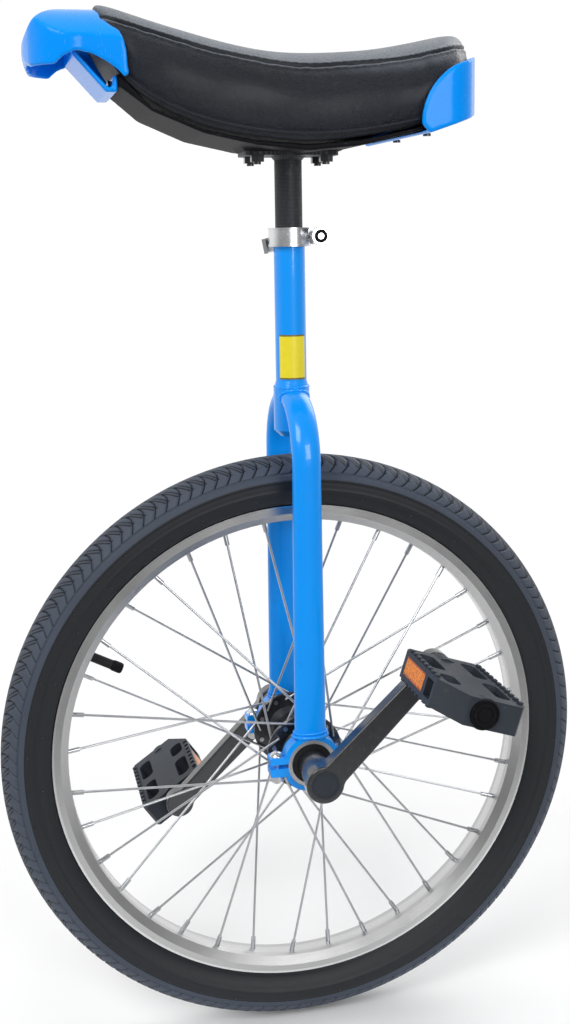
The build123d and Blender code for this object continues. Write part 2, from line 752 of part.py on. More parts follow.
def leg_solid(side, shrink):
    """One leg, bent from the crown and tapering wider to its foot, thinner by shrink all round."""
    thick = LEG_THICKNESS / 2 - shrink
    top = LEG_WIDTH_TOP / 2 - shrink
    bottom = LEG_WIDTH_BOTTOM / 2 - shrink
    bend = LEG_BEND_Z + math.sqrt(0.5) * LEG_X
    with BuildPart() as leg:
        with BuildLine():
            ThreePointArc(
                (side * LEG_X, 0, LEG_BEND_Z),
                (side * math.sqrt(0.5) * LEG_X, 0, bend),
                (0, 0, LEG_BEND_Z + LEG_X),
            )
        with BuildSketch(Plane.XY.offset(LEG_BEND_Z)):
            with Locations((side * LEG_X, 0)):
                Ellipse(thick, top)
        sweep()
        with BuildSketch(Plane.XY.offset(LEG_BEND_Z)):
            with Locations((side * LEG_X, 0)):
                Ellipse(thick, top)
        with BuildSketch(Plane.XY.offset(LEG_FOOT_Z)):
            with Locations((side * LEG_X, 0)):
                Ellipse(thick, bottom)
        loft()
    return leg.part


def holder_half(side, way):
    """Half of a bearing holder: way is 1 for the upper half and -1 for the lower cap."""
    ear = EAR_UPPER if way > 0 else EAR_LOWER
    split = HOLDER_GAP / 2
    crest = HOLDER_R if way < 0 else HOLDER_R + 1.5
    with BuildPart() as half:
        with BuildSketch(across(side * (BEARING_X - HOLDER_WIDTH / 2))):
            with BuildLine():
                Polyline((EAR_REACH, way * split), (EAR_REACH, way * (split + ear - 1.5)))
                Polyline((EAR_REACH, way * (split + ear - 1.5)), (EAR_REACH - 1.5, way * (split + ear)))
                Polyline((EAR_REACH - 1.5, way * (split + ear)), (EAR_REACH - EAR_FLAT, way * (split + ear)))
                ThreePointArc((EAR_REACH - EAR_FLAT, way * (split + ear)), (19.6, way * 14.6), (12.4, way * 20.6))
                ThreePointArc((12.4, way * 20.6), (0, way * crest), (-12.4, way * 20.6))
                ThreePointArc((-12.4, way * 20.6), (-19.6, way * 14.6), (EAR_FLAT - EAR_REACH, way * (split + ear)))
                Polyline((EAR_FLAT - EAR_REACH, way * (split + ear)), (1.5 - EAR_REACH, way * (split + ear)))
                Polyline((1.5 - EAR_REACH, way * (split + ear)), (-EAR_REACH, way * (split + ear - 1.5)))
                Polyline((-EAR_REACH, way * (split + ear - 1.5)), (-EAR_REACH, way * split))
                Polyline((-EAR_REACH, way * split), (EAR_REACH, way * split))
            make_face()
            Circle(BEARING_R + FIT / 2, mode=Mode.SUBTRACT)
        extrude(amount=side * HOLDER_WIDTH)
        with Locations(*[(side * BEARING_X, y, AXLE_Z) for y in (CAP_BOLT_Y, -CAP_BOLT_Y)]):
            Cylinder(CAP_BOLT_R + FIT, 60, mode=Mode.SUBTRACT)
    return half


LEGS = [leg_solid(side, 0) for side in (1, -1)]
LEG_HOLLOWS = [leg_solid(side, LEG_WALL) for side in (1, -1)]
UPPER_HOLDERS = [holder_half(side, 1).part for side in (1, -1)]

with BuildPart() as fork:
    with BuildSketch(Plane.XZ):
        with BuildLine():
            Polyline(
                (0, CROWN_BOTTOM_Z),
                (CROWN_R - 5, CROWN_BOTTOM_Z),
                (CROWN_R, CROWN_BOTTOM_Z + 5),
                (CROWN_R, CROWN_TOP_Z),
                (TUBE_R, CROWN_TOP_Z + 7),
                (TUBE_R, TUBE_TOP_Z),
                (0, TUBE_TOP_Z),
                close=True,
            )
        make_face()
    revolve(axis=Axis.Z)
    add(LEGS)
    for side in (1, -1):
        with BuildSketch(Plane.XY.offset(LEG_FOOT_Z + 1.5)):
            with Locations((side * LEG_X, 0)):
                Ellipse(LEG_THICKNESS / 2 + 0.7, LEG_WIDTH_BOTTOM / 2 + 0.7)
        extrude(amount=2.5)
    add(LEG_HOLLOWS, mode=Mode.SUBTRACT)
    add(UPPER_HOLDERS)
    with BuildSketch(Plane.XY.offset(BORE_BOTTOM_Z)):
        Circle(POST_R + FIT)
    extrude(amount=TUBE_TOP_Z - BORE_BOTTOM_Z, mode=Mode.SUBTRACT)
    with Locations((0, TUBE_R, TUBE_TOP_Z - SLOT_DEPTH / 2)):
        Box(SLOT_WIDTH, TUBE_R, SLOT_DEPTH, mode=Mode.SUBTRACT)
write(fork, "fork_frame")

for side_name, side in SIDES:
    write(holder_half(side, -1), f"bearing_cap_{side_name}")

CAP_EAR_TOP = AXLE_Z + HOLDER_GAP / 2 + EAR_UPPER
CAP_EAR_BOTTOM = AXLE_Z - HOLDER_GAP / 2 - EAR_LOWER
CAP_BOLT_PLACES = [(x, y) for x in (BEARING_X, -BEARING_X) for y in (CAP_BOLT_Y, -CAP_BOLT_Y)]

with BuildPart() as cap_bolts:
    with BuildSketch(Plane.XY.offset(CAP_EAR_BOTTOM - 7)):
        with Locations(*CAP_BOLT_PLACES):
            Circle(CAP_BOLT_R)
    extrude(amount=CAP_EAR_TOP - CAP_EAR_BOTTOM + 8)
    for x, y in CAP_BOLT_PLACES:
        dome_r = (CAP_BOLT_HEAD_R**2 + CAP_BOLT_HEAD**2) / (2 * CAP_BOLT_HEAD)
        with BuildSketch(Plane(origin=(x, y, CAP_EAR_TOP + FIT), x_dir=(1, 0, 0), z_dir=(0, -1, 0))):
            with BuildLine():
                Polyline((0, CAP_BOLT_HEAD), (0, 0), (CAP_BOLT_HEAD_R, 0))
                rise = math.sqrt(dome_r**2 - (CAP_BOLT_HEAD_R / 2) ** 2) - (dome_r - CAP_BOLT_HEAD)
                ThreePointArc((CAP_BOLT_HEAD_R, 0), (CAP_BOLT_HEAD_R / 2, rise), (0, CAP_BOLT_HEAD))
            make_face()
        revolve(axis=Axis((x, y, 0), (0, 0, 1)))
write(cap_bolts, "cap_bolts")

with BuildPart() as cap_nuts:
    with BuildSketch(Plane.XY.offset(CAP_EAR_BOTTOM - FIT)):
        with Locations(*CAP_BOLT_PLACES):
            RegularPolygon(5.0, 6, major_radius=False)
            Circle(CAP_BOLT_R + FIT, mode=Mode.SUBTRACT)
    extrude(amount=-NUT_HEIGHT)
write(cap_nuts, "cap_nuts")

with BuildPart() as label:
    with BuildSketch(Plane.XY.offset(LABEL_BOTTOM_Z)):
        Circle(TUBE_R + 0.22)
        Circle(TUBE_R + 0.02, mode=Mode.SUBTRACT)
        with BuildLine():
            Polyline((0, 0), (20, -32), (60, 0), (20, 22), close=True)
        make_face(mode=Mode.INTERSECT)
    extrude(amount=LABEL_HEIGHT)
write(label, "frame_label")

# ---------------------------------------------------------------- seat clamp
CLAMP_TOP_Z = CLAMP_BOTTOM_Z + CLAMP_HEIGHT

with BuildPart() as clamp:
    with BuildSketch(Plane.XY.offset(CLAMP_BOTTOM_Z)):
        Circle(CLAMP_R)
    extrude(amount=CLAMP_HEIGHT)
    for lip_z in (CLAMP_BOTTOM_Z, CLAMP_TOP_Z - 1.6):
        with BuildSketch(Plane.XY.offset(lip_z)):
            Circle(CLAMP_R + CLAMP_LIP)
        extrude(amount=1.6)
    with BuildSketch(Plane.YZ.offset(-EAR_OUT_X)):
        with Locations((SKEWER_Y, SKEWER_Z)):
            Circle(6.4)
        with Locations((SKEWER_Y - 7, SKEWER_Z)):
            Rectangle(14, 12.8)
    extrude(amount=2 * EAR_OUT_X)
    with BuildSketch(Plane.XY.offset(CLAMP_BOTTOM_Z)):
        Circle(TUBE_R + 0.02)
    extrude(amount=TUBE_TOP_Z - CLAMP_BOTTOM_Z + SEAT_GAP, mode=Mode.SUBTRACT)
    with BuildSketch(Plane.XY.offset(CLAMP_BOTTOM_Z)):
        Circle(POST_R + SEAT_GAP)
    extrude(amount=CLAMP_HEIGHT, mode=Mode.SUBTRACT)
    with Locations((0, TUBE_R + 10, CLAMP_BOTTOM_Z + CLAMP_HEIGHT / 2)):
        Box(EAR_GAP, 20, CLAMP_HEIGHT + 2, mode=Mode.SUBTRACT)
    with Locations((0, SKEWER_Y, SKEWER_Z)):
        Cylinder(SKEWER_R + FIT, 40, rotation=(0, 90, 0), mode=Mode.SUBTRACT)
write(clamp, "seat_clamp")


def on_skewer(start, length, radius, mode=Mode.ADD):
    """A cylinder on the clamp skewer from start along +X."""
    with Locations((start + length / 2, SKEWER_Y, SKEWER_Z)):
        Cylinder(radius, length, rotation=(0, 90, 0), mode=mode)


NUT_START = EAR_OUT_X + FIT
NUT_REACH = 12.0
INSERT_R = 5.3

with BuildPart() as skewer:
    on_skewer(LEVER_X, NUT_START + NUT_REACH - LEVER_X + 0.4, SKEWER_R)
write(skewer, "clamp_skewer")

with BuildPart() as clamp_nut:
    on_skewer(NUT_START, NUT_REACH, 7.2)
    on_skewer(NUT_START + 6, NUT_REACH, INSERT_R + FIT, Mode.SUBTRACT)
    on_skewer(NUT_START - 1, NUT_REACH, SKEWER_R + FIT, Mode.SUBTRACT)
write(clamp_nut, "clamp_nut")

with BuildPart() as nut_insert:
    on_skewer(NUT_START + 6 + FIT, 5.6, INSERT_R)
    on_skewer(NUT_START, NUT_REACH + 2, SKEWER_R + FIT, Mode.SUBTRACT)
write(nut_insert, "clamp_nut_insert")

WASHER_OUT_X = EAR_OUT_X + 1.7

with BuildPart() as cam_washer:
    on_skewer(-WASHER_OUT_X, WASHER_OUT_X - EAR_OUT_X - FIT, 6.2)
    on_skewer(-WASHER_OUT_X - 1, 4, SKEWER_R + FIT, Mode.SUBTRACT)
write(cam_washer, "cam_washer")

with BuildPart() as lever_pin:
    with Locations((LEVER_X, SKEWER_Y, SKEWER_Z)):
        Cylinder(LEVER_PIN_R, LEVER_HEIGHT + 0.4)
    on_skewer(LEVER_X - SKEWER_R - FIT, 20, SKEWER_R + FIT, Mode.SUBTRACT)
write(lever_pin, "lever_pin")

lever_swing = Plane(origin=(LEVER_X, SKEWER_Y, SKEWER_Z)).rotated((LEVER_DROOP, 0, 0))
LEVER_CENTRE = (-LEVER_X, -SKEWER_Y)
LEVER_INNER_R = CLAMP_R + CLAMP_LIP + 1.9
LEVER_START = 148.0
LEVER_SWEEP = 104.0

with BuildPart() as lever:
    with BuildSketch(lever_swing.offset(-LEVER_HEIGHT / 2)):
        with BuildLine():
            inner_arc = CenterArc(LEVER_CENTRE, LEVER_INNER_R, LEVER_START, LEVER_SWEEP)
            outer_arc = CenterArc(LEVER_CENTRE, LEVER_INNER_R + LEVER_WALL, LEVER_START, LEVER_SWEEP)
            Line(inner_arc @ 0, outer_arc @ 0)
            Line(inner_arc @ 1, outer_arc @ 1)
        make_face()
        with BuildLine():
            Polyline(outer_arc @ 0, (1 - LEVER_HEAD_R, -1.5), (2, -5), inner_arc @ 0, close=True)
        make_face()
    extrude(amount=LEVER_HEIGHT)
    with Locations((LEVER_X, SKEWER_Y, SKEWER_Z)):
        Cylinder(LEVER_HEAD_R, LEVER_HEIGHT)
        Cylinder(LEVER_HEAD_R + 1, LEVER_SLOT, mode=Mode.SUBTRACT)
        Cylinder(LEVER_PIN_R + FIT, LEVER_HEIGHT + 8, mode=Mode.SUBTRACT)
write(lever, "clamp_lever")

# ---------------------------------------------------------------- seat post
PLATE_Z = PLATE_TOP_Z - PLATE
STUD_PLACES = [(x, y) for x in (STUD_X, -STUD_X) for y in (STUD_Y, -STUD_Y)]

with BuildPart() as post:
    with BuildSketch(Plane.XY.offset(POST_BOTTOM_Z)):
        Circle(POST_R)
    extrude(amount=PLATE_Z - POST_BOTTOM_Z)
    chamfer(post.faces().sort_by(Axis.Z)[0].edges(), 1.0)
    with BuildSketch(Plane.XY.offset(PLATE_Z)):
        RectangleRounded(PLATE_WIDTH, PLATE_LENGTH, 8)
    extrude(amount=PLATE)
    with BuildSketch(Plane.XY.offset(PLATE_Z)):
        Circle(POST_R + 3)
    extrude(amount=-3, taper=40)
    with BuildSketch(Plane.XY.offset(POST_BOTTOM_Z)):
        Circle(POST_R - POST_WALL)
    extrude(amount=PLATE_Z - POST_BOTTOM_Z, mode=Mode.SUBTRACT)
    with BuildSketch(Plane.XY.offset(PLATE_Z)):
        with Locations(*STUD_PLACES):
            Circle(STUD_R + FIT)
    extrude(amount=PLATE, mode=Mode.SUBTRACT)
write(post, "seat_post")

with BuildPart() as studs:
    with BuildSketch(Plane.XY.offset(PLATE_Z - NUT_HEIGHT - 2)):
        with Locations(*STUD_PLACES):
            Circle(STUD_R)
    extrude(amount=PLATE + NUT_HEIGHT + 6)
write(studs, "seat_studs")

with BuildPart() as seat_nuts:
    with BuildSketch(Plane.XY.offset(PLATE_Z - FIT)):
        with Locations(*STUD_PLACES):
            RegularPolygon(5.0, 6, major_radius=False)
            Circle(STUD_R + FIT, mode=Mode.SUBTRACT)
    extrude(amount=-NUT_HEIGHT)
write(seat_nuts, "seat_nuts")


# ---------------------------------------------------------------- saddle
def pad_solid(grow, drop):
    """The pad's outer shape, grown all round by one amount and downwards by another."""
    first = SADDLE_STATIONS[0][0]
    last = SADDLE_STATIONS[-1][0]
    with BuildPart() as pad:
        for y, top, bottom, half, base in SADDLE_STATIONS:
            reach = -grow if y == first else grow if y == last else 0
            with BuildSketch(Plane.XZ.offset(-y - reach)):
                with Locations((0, (top + grow + bottom - drop) / 2)):
                    RectangleRounded(2 * (half + grow), top + grow - bottom + drop, PAD_CORNER_R)
        loft(ruled=True)
    return pad.part


PAD_OUTSIDE = pad_solid(0, 0)
PAD_INSIDE = pad_solid(-COVER_THICKNESS, 1.0)
PAD_SPACE = pad_solid(SEAT_GAP, SEAT_GAP)
PAD_FOAM = pad_solid(-COVER_THICKNESS - LOOSE, -SEAT_GAP)

with BuildPart() as cover:
    add(PAD_OUTSIDE)
    add(PAD_INSIDE, mode=Mode.SUBTRACT)
write(cover, "saddle_cover")

with BuildPart() as foam:
    add(PAD_FOAM)
write(foam, "saddle_foam")

BASE_STATIONS = [station for station in SADDLE_STATIONS if station[4] > 0]
BASE_FRONT_Y = BASE_STATIONS[0][0]

with BuildPart() as base:
    for y, top, bottom, half, depth in BASE_STATIONS:
        with BuildSketch(Plane.XZ.offset(-y)):
            with Locations((0, bottom - SEAT_GAP - depth / 2)):
                Rectangle(2 * (half - BASE_INSET), depth)
    loft(ruled=True)
    with BuildSketch(Plane.XY.offset(PLATE_TOP_Z)):
        RectangleRounded(PLATE_WIDTH + 4, PLATE_LENGTH + 4, 8)
    extrude(amount=12)
    add(PAD_SPACE, mode=Mode.SUBTRACT)
    with BuildSketch(Plane.XY.offset(PLATE_TOP_Z - 6)):
        RectangleRounded(PLATE_WIDTH + 4, PLATE_LENGTH + 4, 8)
    extrude(amount=6, mode=Mode.SUBTRACT)
    with BuildSketch(Plane.XY.offset(PLATE_TOP_Z)):
        with Locations(*STUD_PLACES):
            Circle(STUD_R + FIT)
    extrude(amount=4, mode=Mode.SUBTRACT)
    for x in (HANDLE_SCREW_X, -HANDLE_SCREW_X):
        with BuildSketch(Plane(origin=(x, BASE_FRONT_Y, HANDLE_SCREW_Z), z_dir=(0, 1, 0))):
            Circle(SCREW_R + FIT)
        extrude(amount=HANDLE_SCREW_DEPTH + 1, mode=Mode.SUBTRACT)
    with BuildSketch(Plane.XY.offset(BUMPER_FLOOR_Z - 2)):
        with Locations((BUMPER_SCREW_X, BUMPER_SCREW_Y), (-BUMPER_SCREW_X, BUMPER_SCREW_Y)):
            Circle(SCREW_R + FIT)
    extrude(amount=14, mode=Mode.SUBTRACT)
write(base, "saddle_base")

# ---------------------------------------------------------------- front handle
handle_near = (HANDLE_HALF_WIDTH - 1, -128)
handle_flank = (HANDLE_HALF_WIDTH - 4, HANDLE_TIP_Y + 41)
handle_bend = (HANDLE_HALF_WIDTH - 12, HANDLE_TIP_Y + 14)
handle_nose = (HANDLE_HALF_WIDTH - 33, HANDLE_TIP_Y + 3)


def handle_plan():
    """Half of the handle's outline seen from above, closed on the middle line."""
    with BuildLine() as outline:
        Line((0, -100), (handle_near[0], -100))
        Line((handle_near[0], -100), handle_near)
        Line(handle_near, handle_flank)
        ThreePointArc(handle_flank, handle_bend, handle_nose)
        ThreePointArc(handle_nose, (handle_nose[0] / 2, HANDLE_TIP_Y + 0.8), (0, HANDLE_TIP_Y))
        Line((0, HANDLE_TIP_Y), (0, -100))
    return outline.line


with BuildPart() as grip_space:
    with BuildSketch(Plane.XY.offset(760)):
        with BuildLine():
            add(handle_plan())
        make_face()
        mirror(about=Plane.YZ)
        offset(amount=-HANDLE_WALL, mode=Mode.REPLACE)
    extrude(amount=100)
    with BuildSketch(Plane.YZ):
        with BuildLine():
            roof = 848.5 - HANDLE_WALL
            Line((-90, roof), (-175, roof))
            ThreePointArc((-175, roof), (-191.5, 838.5), (HANDLE_TIP_Y + 6.6, 829))
            Polyline(
                (HANDLE_TIP_Y + 6.6, 829),
                (HANDLE_TIP_Y + HANDLE_WALL + 0.4, 812),
                (HANDLE_TIP_Y + HANDLE_WALL + 1.4, 760),
                (-90, 760),
                (-90, roof),
            )
        make_face()
    extrude(amount=HANDLE_HALF_WIDTH, both=True, mode=Mode.INTERSECT)
    with BuildSketch(Plane.XZ):
        with Locations((0, HANDLE_ARCH_Z)):
            Circle(HANDLE_ARCH_R - HANDLE_WALL)
    extrude(amount=-HANDLE_TIP_Y, mode=Mode.INTERSECT)

with BuildPart() as handle:
    with BuildSketch(Plane.YZ):
        with BuildLine():
            Line((-175, 848.5), (-151, 849.5))
            ThreePointArc((-151, 849.5), (-139, 834), (-132.5, 815))
            Polyline((-132.5, 815), (-131, 797), (-134, 794.5))
            ThreePointArc((-134, 794.5), (-151, 808), (-167, 813.5))
            ThreePointArc((-167, 813.5), (-176, 810.5), (-184, 803.5))
            Line((-184, 803.5), (HANDLE_TIP_Y + 6, 803.5))
            ThreePointArc((HANDLE_TIP_Y + 6, 803.5), (HANDLE_TIP_Y, 815), (HANDLE_TIP_Y + 3, 830))
            ThreePointArc((HANDLE_TIP_Y + 3, 830), (-193, 842.5), (-175, 848.5))
        make_face()
    extrude(amount=HANDLE_HALF_WIDTH, both=True)
    with BuildSketch(Plane.XY.offset(760)):
        with BuildLine():
            add(handle_plan())
        make_face()
        mirror(about=Plane.YZ)
    extrude(amount=100, mode=Mode.INTERSECT)
    add(grip_space.part, mode=Mode.SUBTRACT)
    with BuildSketch(Plane.YZ):
        seat_y = BASE_FRONT_Y - SEAT_GAP
        with BuildLine():
            Polyline(
                (-172, 846.5),
                (-172, 813),
                (-147, 785.2),
                (seat_y, 785.2),
                (seat_y, 797),
                (seat_y - HANDLE_WALL, 797),
                (seat_y - HANDLE_WALL, 788.8),
                (-145.4, 788.8),
                (-172 + HANDLE_WALL, 814.5),
                (-172 + HANDLE_WALL, 846.5),
                close=True,
            )
        make_face()
    extrude(amount=TONGUE_HALF_WIDTH, both=True)
    with BuildSketch(Plane.XZ):
        with Locations((0, HANDLE_ARCH_Z)):
            Circle(HANDLE_ARCH_R)
    extrude(amount=1 - HANDLE_TIP_Y, mode=Mode.INTERSECT)
    add(PAD_SPACE, mode=Mode.SUBTRACT)
    for x in (HANDLE_SCREW_X, -HANDLE_SCREW_X):
        with BuildSketch(Plane(origin=(x, BASE_FRONT_Y, HANDLE_SCREW_Z), z_dir=(0, -1, 0))):
            Circle(SCREW_R + FIT)
        extrude(amount=6, mode=Mode.SUBTRACT)
write(handle, "front_handle")

with BuildPart() as handle_screws:
    for x in (HANDLE_SCREW_X, -HANDLE_SCREW_X):
        head_y = BASE_FRONT_Y - SEAT_GAP - HANDLE_WALL - FIT
        with BuildSketch(Plane(origin=(x, head_y, HANDLE_SCREW_Z), z_dir=(0, -1, 0))):
            Circle(SCREW_HEAD_R)
        extrude(amount=SCREW_HEAD)
        with BuildSketch(Plane(origin=(x, head_y, HANDLE_SCREW_Z), z_dir=(0, 1, 0))):
            Circle(SCREW_R)
        extrude(amount=HANDLE_SCREW_DEPTH + HANDLE_WALL)
write(handle_screws, "handle_screws")

# ---------------------------------------------------------------- rear bumper
def bumper_plan():
    """Half of the bumper's outline seen from above, closed on the middle line."""
    with BuildLine() as outline:
        Line((0, 60), (BUMPER_HALF_WIDTH, 60))
        Line((BUMPER_HALF_WIDTH, 60), (BUMPER_HALF_WIDTH, 108))
        ThreePointArc((BUMPER_HALF_WIDTH, 108), (BUMPER_HALF_WIDTH - 4.5, 121), (70, 130.5))
        ThreePointArc((70, 130.5), (36, BUMPER_REAR_Y - 6.2), (0, BUMPER_REAR_Y))
        Line((0, BUMPER_REAR_Y), (0, 60))
    return outline.line


with BuildPart() as bumper_space:
    with BuildSketch(Plane.XY.offset(740)):
        with BuildLine():
            add(bumper_plan())
        make_face()
        mirror(about=Plane.YZ)
        offset(amount=-BUMPER_WALL, mode=Mode.REPLACE)
    extrude(amount=100)
    with BuildSketch(Plane.YZ):
        with BuildLine():
            Polyline(
                (60, 746.1),
                (91, 755.9),
                (BUMPER_REAR_Y - 6.5, 773.6),
                (BUMPER_REAR_Y - BUMPER_WALL - 0.4, 784),
                (145.5, 817),
                (144, 840),
                (60, 840),
                close=True,
            )
        make_face()
    extrude(amount=BUMPER_HALF_WIDTH, both=True, mode=Mode.INTERSECT)

with BuildPart() as bumper:
    with BuildSketch(Plane.YZ):
        with BuildLine():
            Polyline(
                (112, 804),
                (148.5, 817),
                (BUMPER_REAR_Y, 784),
                (BUMPER_REAR_Y - 5.5, 771),
                (91, 753),
                (84.5, 760),
            )
            ThreePointArc((84.5, 760), (90.5, 783), (112, 804))
        make_face()
    extrude(amount=BUMPER_HALF_WIDTH, both=True)
    with BuildSketch(Plane.XY.offset(740)):
        with BuildLine():
            add(bumper_plan())
        make_face()
        mirror(about=Plane.YZ)
    extrude(amount=100, mode=Mode.INTERSECT)
    add(bumper_space.part, mode=Mode.SUBTRACT)
    add(PAD_SPACE, mode=Mode.SUBTRACT)
    with BuildSketch(Plane.XY.offset(BUMPER_FLOOR_Z - 2)):
        with Locations((BUMPER_SCREW_X, BUMPER_SCREW_Y), (-BUMPER_SCREW_X, BUMPER_SCREW_Y)):
            Circle(SCREW_R + FIT)
    extrude(amount=14, mode=Mode.SUBTRACT)
write(bumper, "rear_bumper")

with BuildPart() as bumper_screws:
    with BuildSketch(Plane.XY.offset(BUMPER_FLOOR_Z)):
        with Locations((BUMPER_SCREW_X, BUMPER_SCREW_Y), (-BUMPER_SCREW_X, BUMPER_SCREW_Y)):
            Circle(SCREW_HEAD_R)
    extrude(amount=-SCREW_HEAD)
    with BuildSketch(Plane.XY.offset(BUMPER_FLOOR_Z)):
        with Locations((BUMPER_SCREW_X, BUMPER_SCREW_Y), (-BUMPER_SCREW_X, BUMPER_SCREW_Y)):
            Circle(SCREW_R)
    extrude(amount=BUMPER_SCREW_REACH)
write(bumper_screws, "bumper_screws")
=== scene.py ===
"""The looks of a 20 inch unicycle, built around its CAD frame.

Lengths are metres in the frame's own axes: +Z up, wheel axle along X, front towards -Y, and the
origin on the ground under the axle. Angles about the axle run from +Y towards +Z.
"""

import math

import bmesh
import bpy
import numpy as np
from mathutils import Matrix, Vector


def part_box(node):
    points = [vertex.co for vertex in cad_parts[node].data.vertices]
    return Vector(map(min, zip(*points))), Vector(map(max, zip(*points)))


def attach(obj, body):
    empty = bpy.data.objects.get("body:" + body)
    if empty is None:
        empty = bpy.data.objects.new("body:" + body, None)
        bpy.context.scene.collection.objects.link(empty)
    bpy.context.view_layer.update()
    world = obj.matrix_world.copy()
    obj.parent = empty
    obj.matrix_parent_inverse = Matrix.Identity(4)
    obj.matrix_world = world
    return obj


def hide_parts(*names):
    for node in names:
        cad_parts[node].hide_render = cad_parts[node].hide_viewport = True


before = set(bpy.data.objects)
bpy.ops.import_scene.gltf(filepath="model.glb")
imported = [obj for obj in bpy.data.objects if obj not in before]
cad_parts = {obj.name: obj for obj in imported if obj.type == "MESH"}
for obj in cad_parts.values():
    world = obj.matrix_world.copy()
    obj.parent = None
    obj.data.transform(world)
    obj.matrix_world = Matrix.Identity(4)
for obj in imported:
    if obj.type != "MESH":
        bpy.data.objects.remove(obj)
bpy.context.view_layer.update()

bl_info = {
    "name": "Unicycle looks",
    "version": (1, 0, 0),
    "blender": (4, 5, 0),
    "location": "3D View > Sidebar > Unicycle",
    "description": "Saddle, tyre tread, welds and finishes for a unicycle frame",
    "category": "Object",
}

MM = 0.001
TYRE_LOW, TYRE_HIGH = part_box("tyre")
AXLE_Z = (TYRE_LOW[2] + TYRE_HIGH[2]) / 2
TYRE_R = (TYRE_HIGH[2] - TYRE_LOW[2]) / 2
CASING_R = (TYRE_HIGH[0] - TYRE_LOW[0]) / 2
CASING_CENTRE_R = TYRE_R - CASING_R
RIM_LOW, RIM_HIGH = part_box("rim")
RIM_EDGE_R = (RIM_HIGH[2] - RIM_LOW[2]) / 2
RIM_HALF = RIM_HIGH[0]
BEAD_HALF = RIM_HALF - 1.9 * MM
BEAD_R = 203.2 * MM
VALVE_ANGLE = math.radians(152.6)
LEG_X = 50 * MM
LEG_BEND_Z = 497 * MM
SLEEVE_R = 14.8 * MM
TUBE_R = 12.7 * MM
SLEEVE_TOP_Z = 553 * MM
HOLDER_TOP_Z = 271.2 * MM

# Saddle sections in millimetres: along Y, crown, lower edge, half width.
SADDLE = np.array([
    (-149, 853, 818, 38),
    (-140, 851, 800, 49),
    (-114, 843, 775, 57),
    (-76, 831, 759, 60),
    (-36, 822, 751, 62),
    (4, 818, 748, 65),
    (44, 820, 751, 72),
    (82, 825, 758, 77),
    (104, 829, 764, 80),
    (120, 833, 771, 72),
    (131, 835, 782, 54),
    (137, 835, 797, 39),
], dtype=float)
# Half a section from the crown round to the middle of the underside. Each point has its share of
# the half width, its share of the way down to the lower edge, and millimetres added to its height.
SECTION = np.array([
    (0.00, 0.00, 0.6),
    (0.22, 0.00, 0.2),
    (0.44, 0.00, -1.8),
    (0.63, 0.00, -5.2),
    (0.79, 0.00, -10.0),
    (0.90, 0.06, -13.0),
    (0.985, 0.24, -10.0),
    (1.025, 0.48, -5.0),
    (1.02, 0.72, 0.0),
    (0.985, 0.91, 1.0),
    (0.93, 1.01, 0.5),
    (0.84, 1.01, 1.0),
    (0.60, 0.97, 2.0),
    (0.30, 0.95, 2.0),
    (0.00, 0.95, 2.0),
])
SEAM_AT = 4.55
EDGE_AT = 9.25


# ---------------------------------------------------------------- shapes
def grid_faces(rows, columns, wrap_rows=False, wrap_columns=False):
    """Quads between neighbouring points of a grid numbered row by row."""
    row = np.arange(rows if wrap_rows else rows - 1)
    column = np.arange(columns if wrap_columns else columns - 1)
    i, j = np.meshgrid(row, column, indexing="ij")
    after_i = (i + 1) % rows
    after_j = (j + 1) % columns
    quads = (i * columns + j, i * columns + after_j, after_i * columns + after_j, after_i * columns + j)
    return np.stack(quads, axis=-1).reshape(-1, 4)


def add_piece(name, points, faces, body, slot, smooth=True):
    """Puts points and faces, as arrays, into a mesh object that rides on a body."""
    mesh = bpy.data.meshes.new(name)
    mesh.from_pydata(points.reshape(-1, 3).tolist(), [], faces.tolist())
    mesh.validate()
    mesh.polygons.foreach_set("use_smooth", np.full(len(mesh.polygons), smooth))
    piece = bpy.data.objects.new(name, mesh)
    bpy.context.scene.collection.objects.link(piece)
    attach(piece, body)
    return piece


def spline(points, per_span, closed):
    """Uniform cubic B-spline along the first axis of a net: each point of a span is its four nearest
    net points weighed by (1-t)^3, 3t^3-6t^2+4, -3t^3+3t^2+3t+1 and t^3, all over 6."""
    net = np.asarray(points, dtype=float)
    if closed:
        net = np.concatenate([net[-1:], net, net[:2]])
    else:
        net = np.concatenate([2 * net[:1] - net[1:2], net, 2 * net[-1:] - net[-2:-1]])
    spans = len(net) - 3
    t = np.arange(per_span) / per_span
    weights = np.stack([(1 - t) ** 3, 3 * t**3 - 6 * t**2 + 4, -3 * t**3 + 3 * t**2 + 3 * t + 1, t**3]) / 6
    near = np.stack([net[k : k + spans] for k in range(4)])
    made = np.einsum("kt,ks...->st...", weights, near).reshape(-1, *net.shape[1:])
    if not closed:
        last = (net[-3] + 4 * net[-2] + net[-1]) / 6
        made = np.concatenate([made, last[None]])
    return made


def surface_normals(points):
    """The unit normal at each grid point: the cross product of the steps along its column and its row."""
    along = np.gradient(points, axis=0)
    around = np.roll(points, -1, axis=1) - np.roll(points, 1, axis=1)
    normal = np.cross(around, along)
    size = np.linalg.norm(normal, axis=-1, keepdims=True)
    return normal / np.maximum(size, 1e-12)


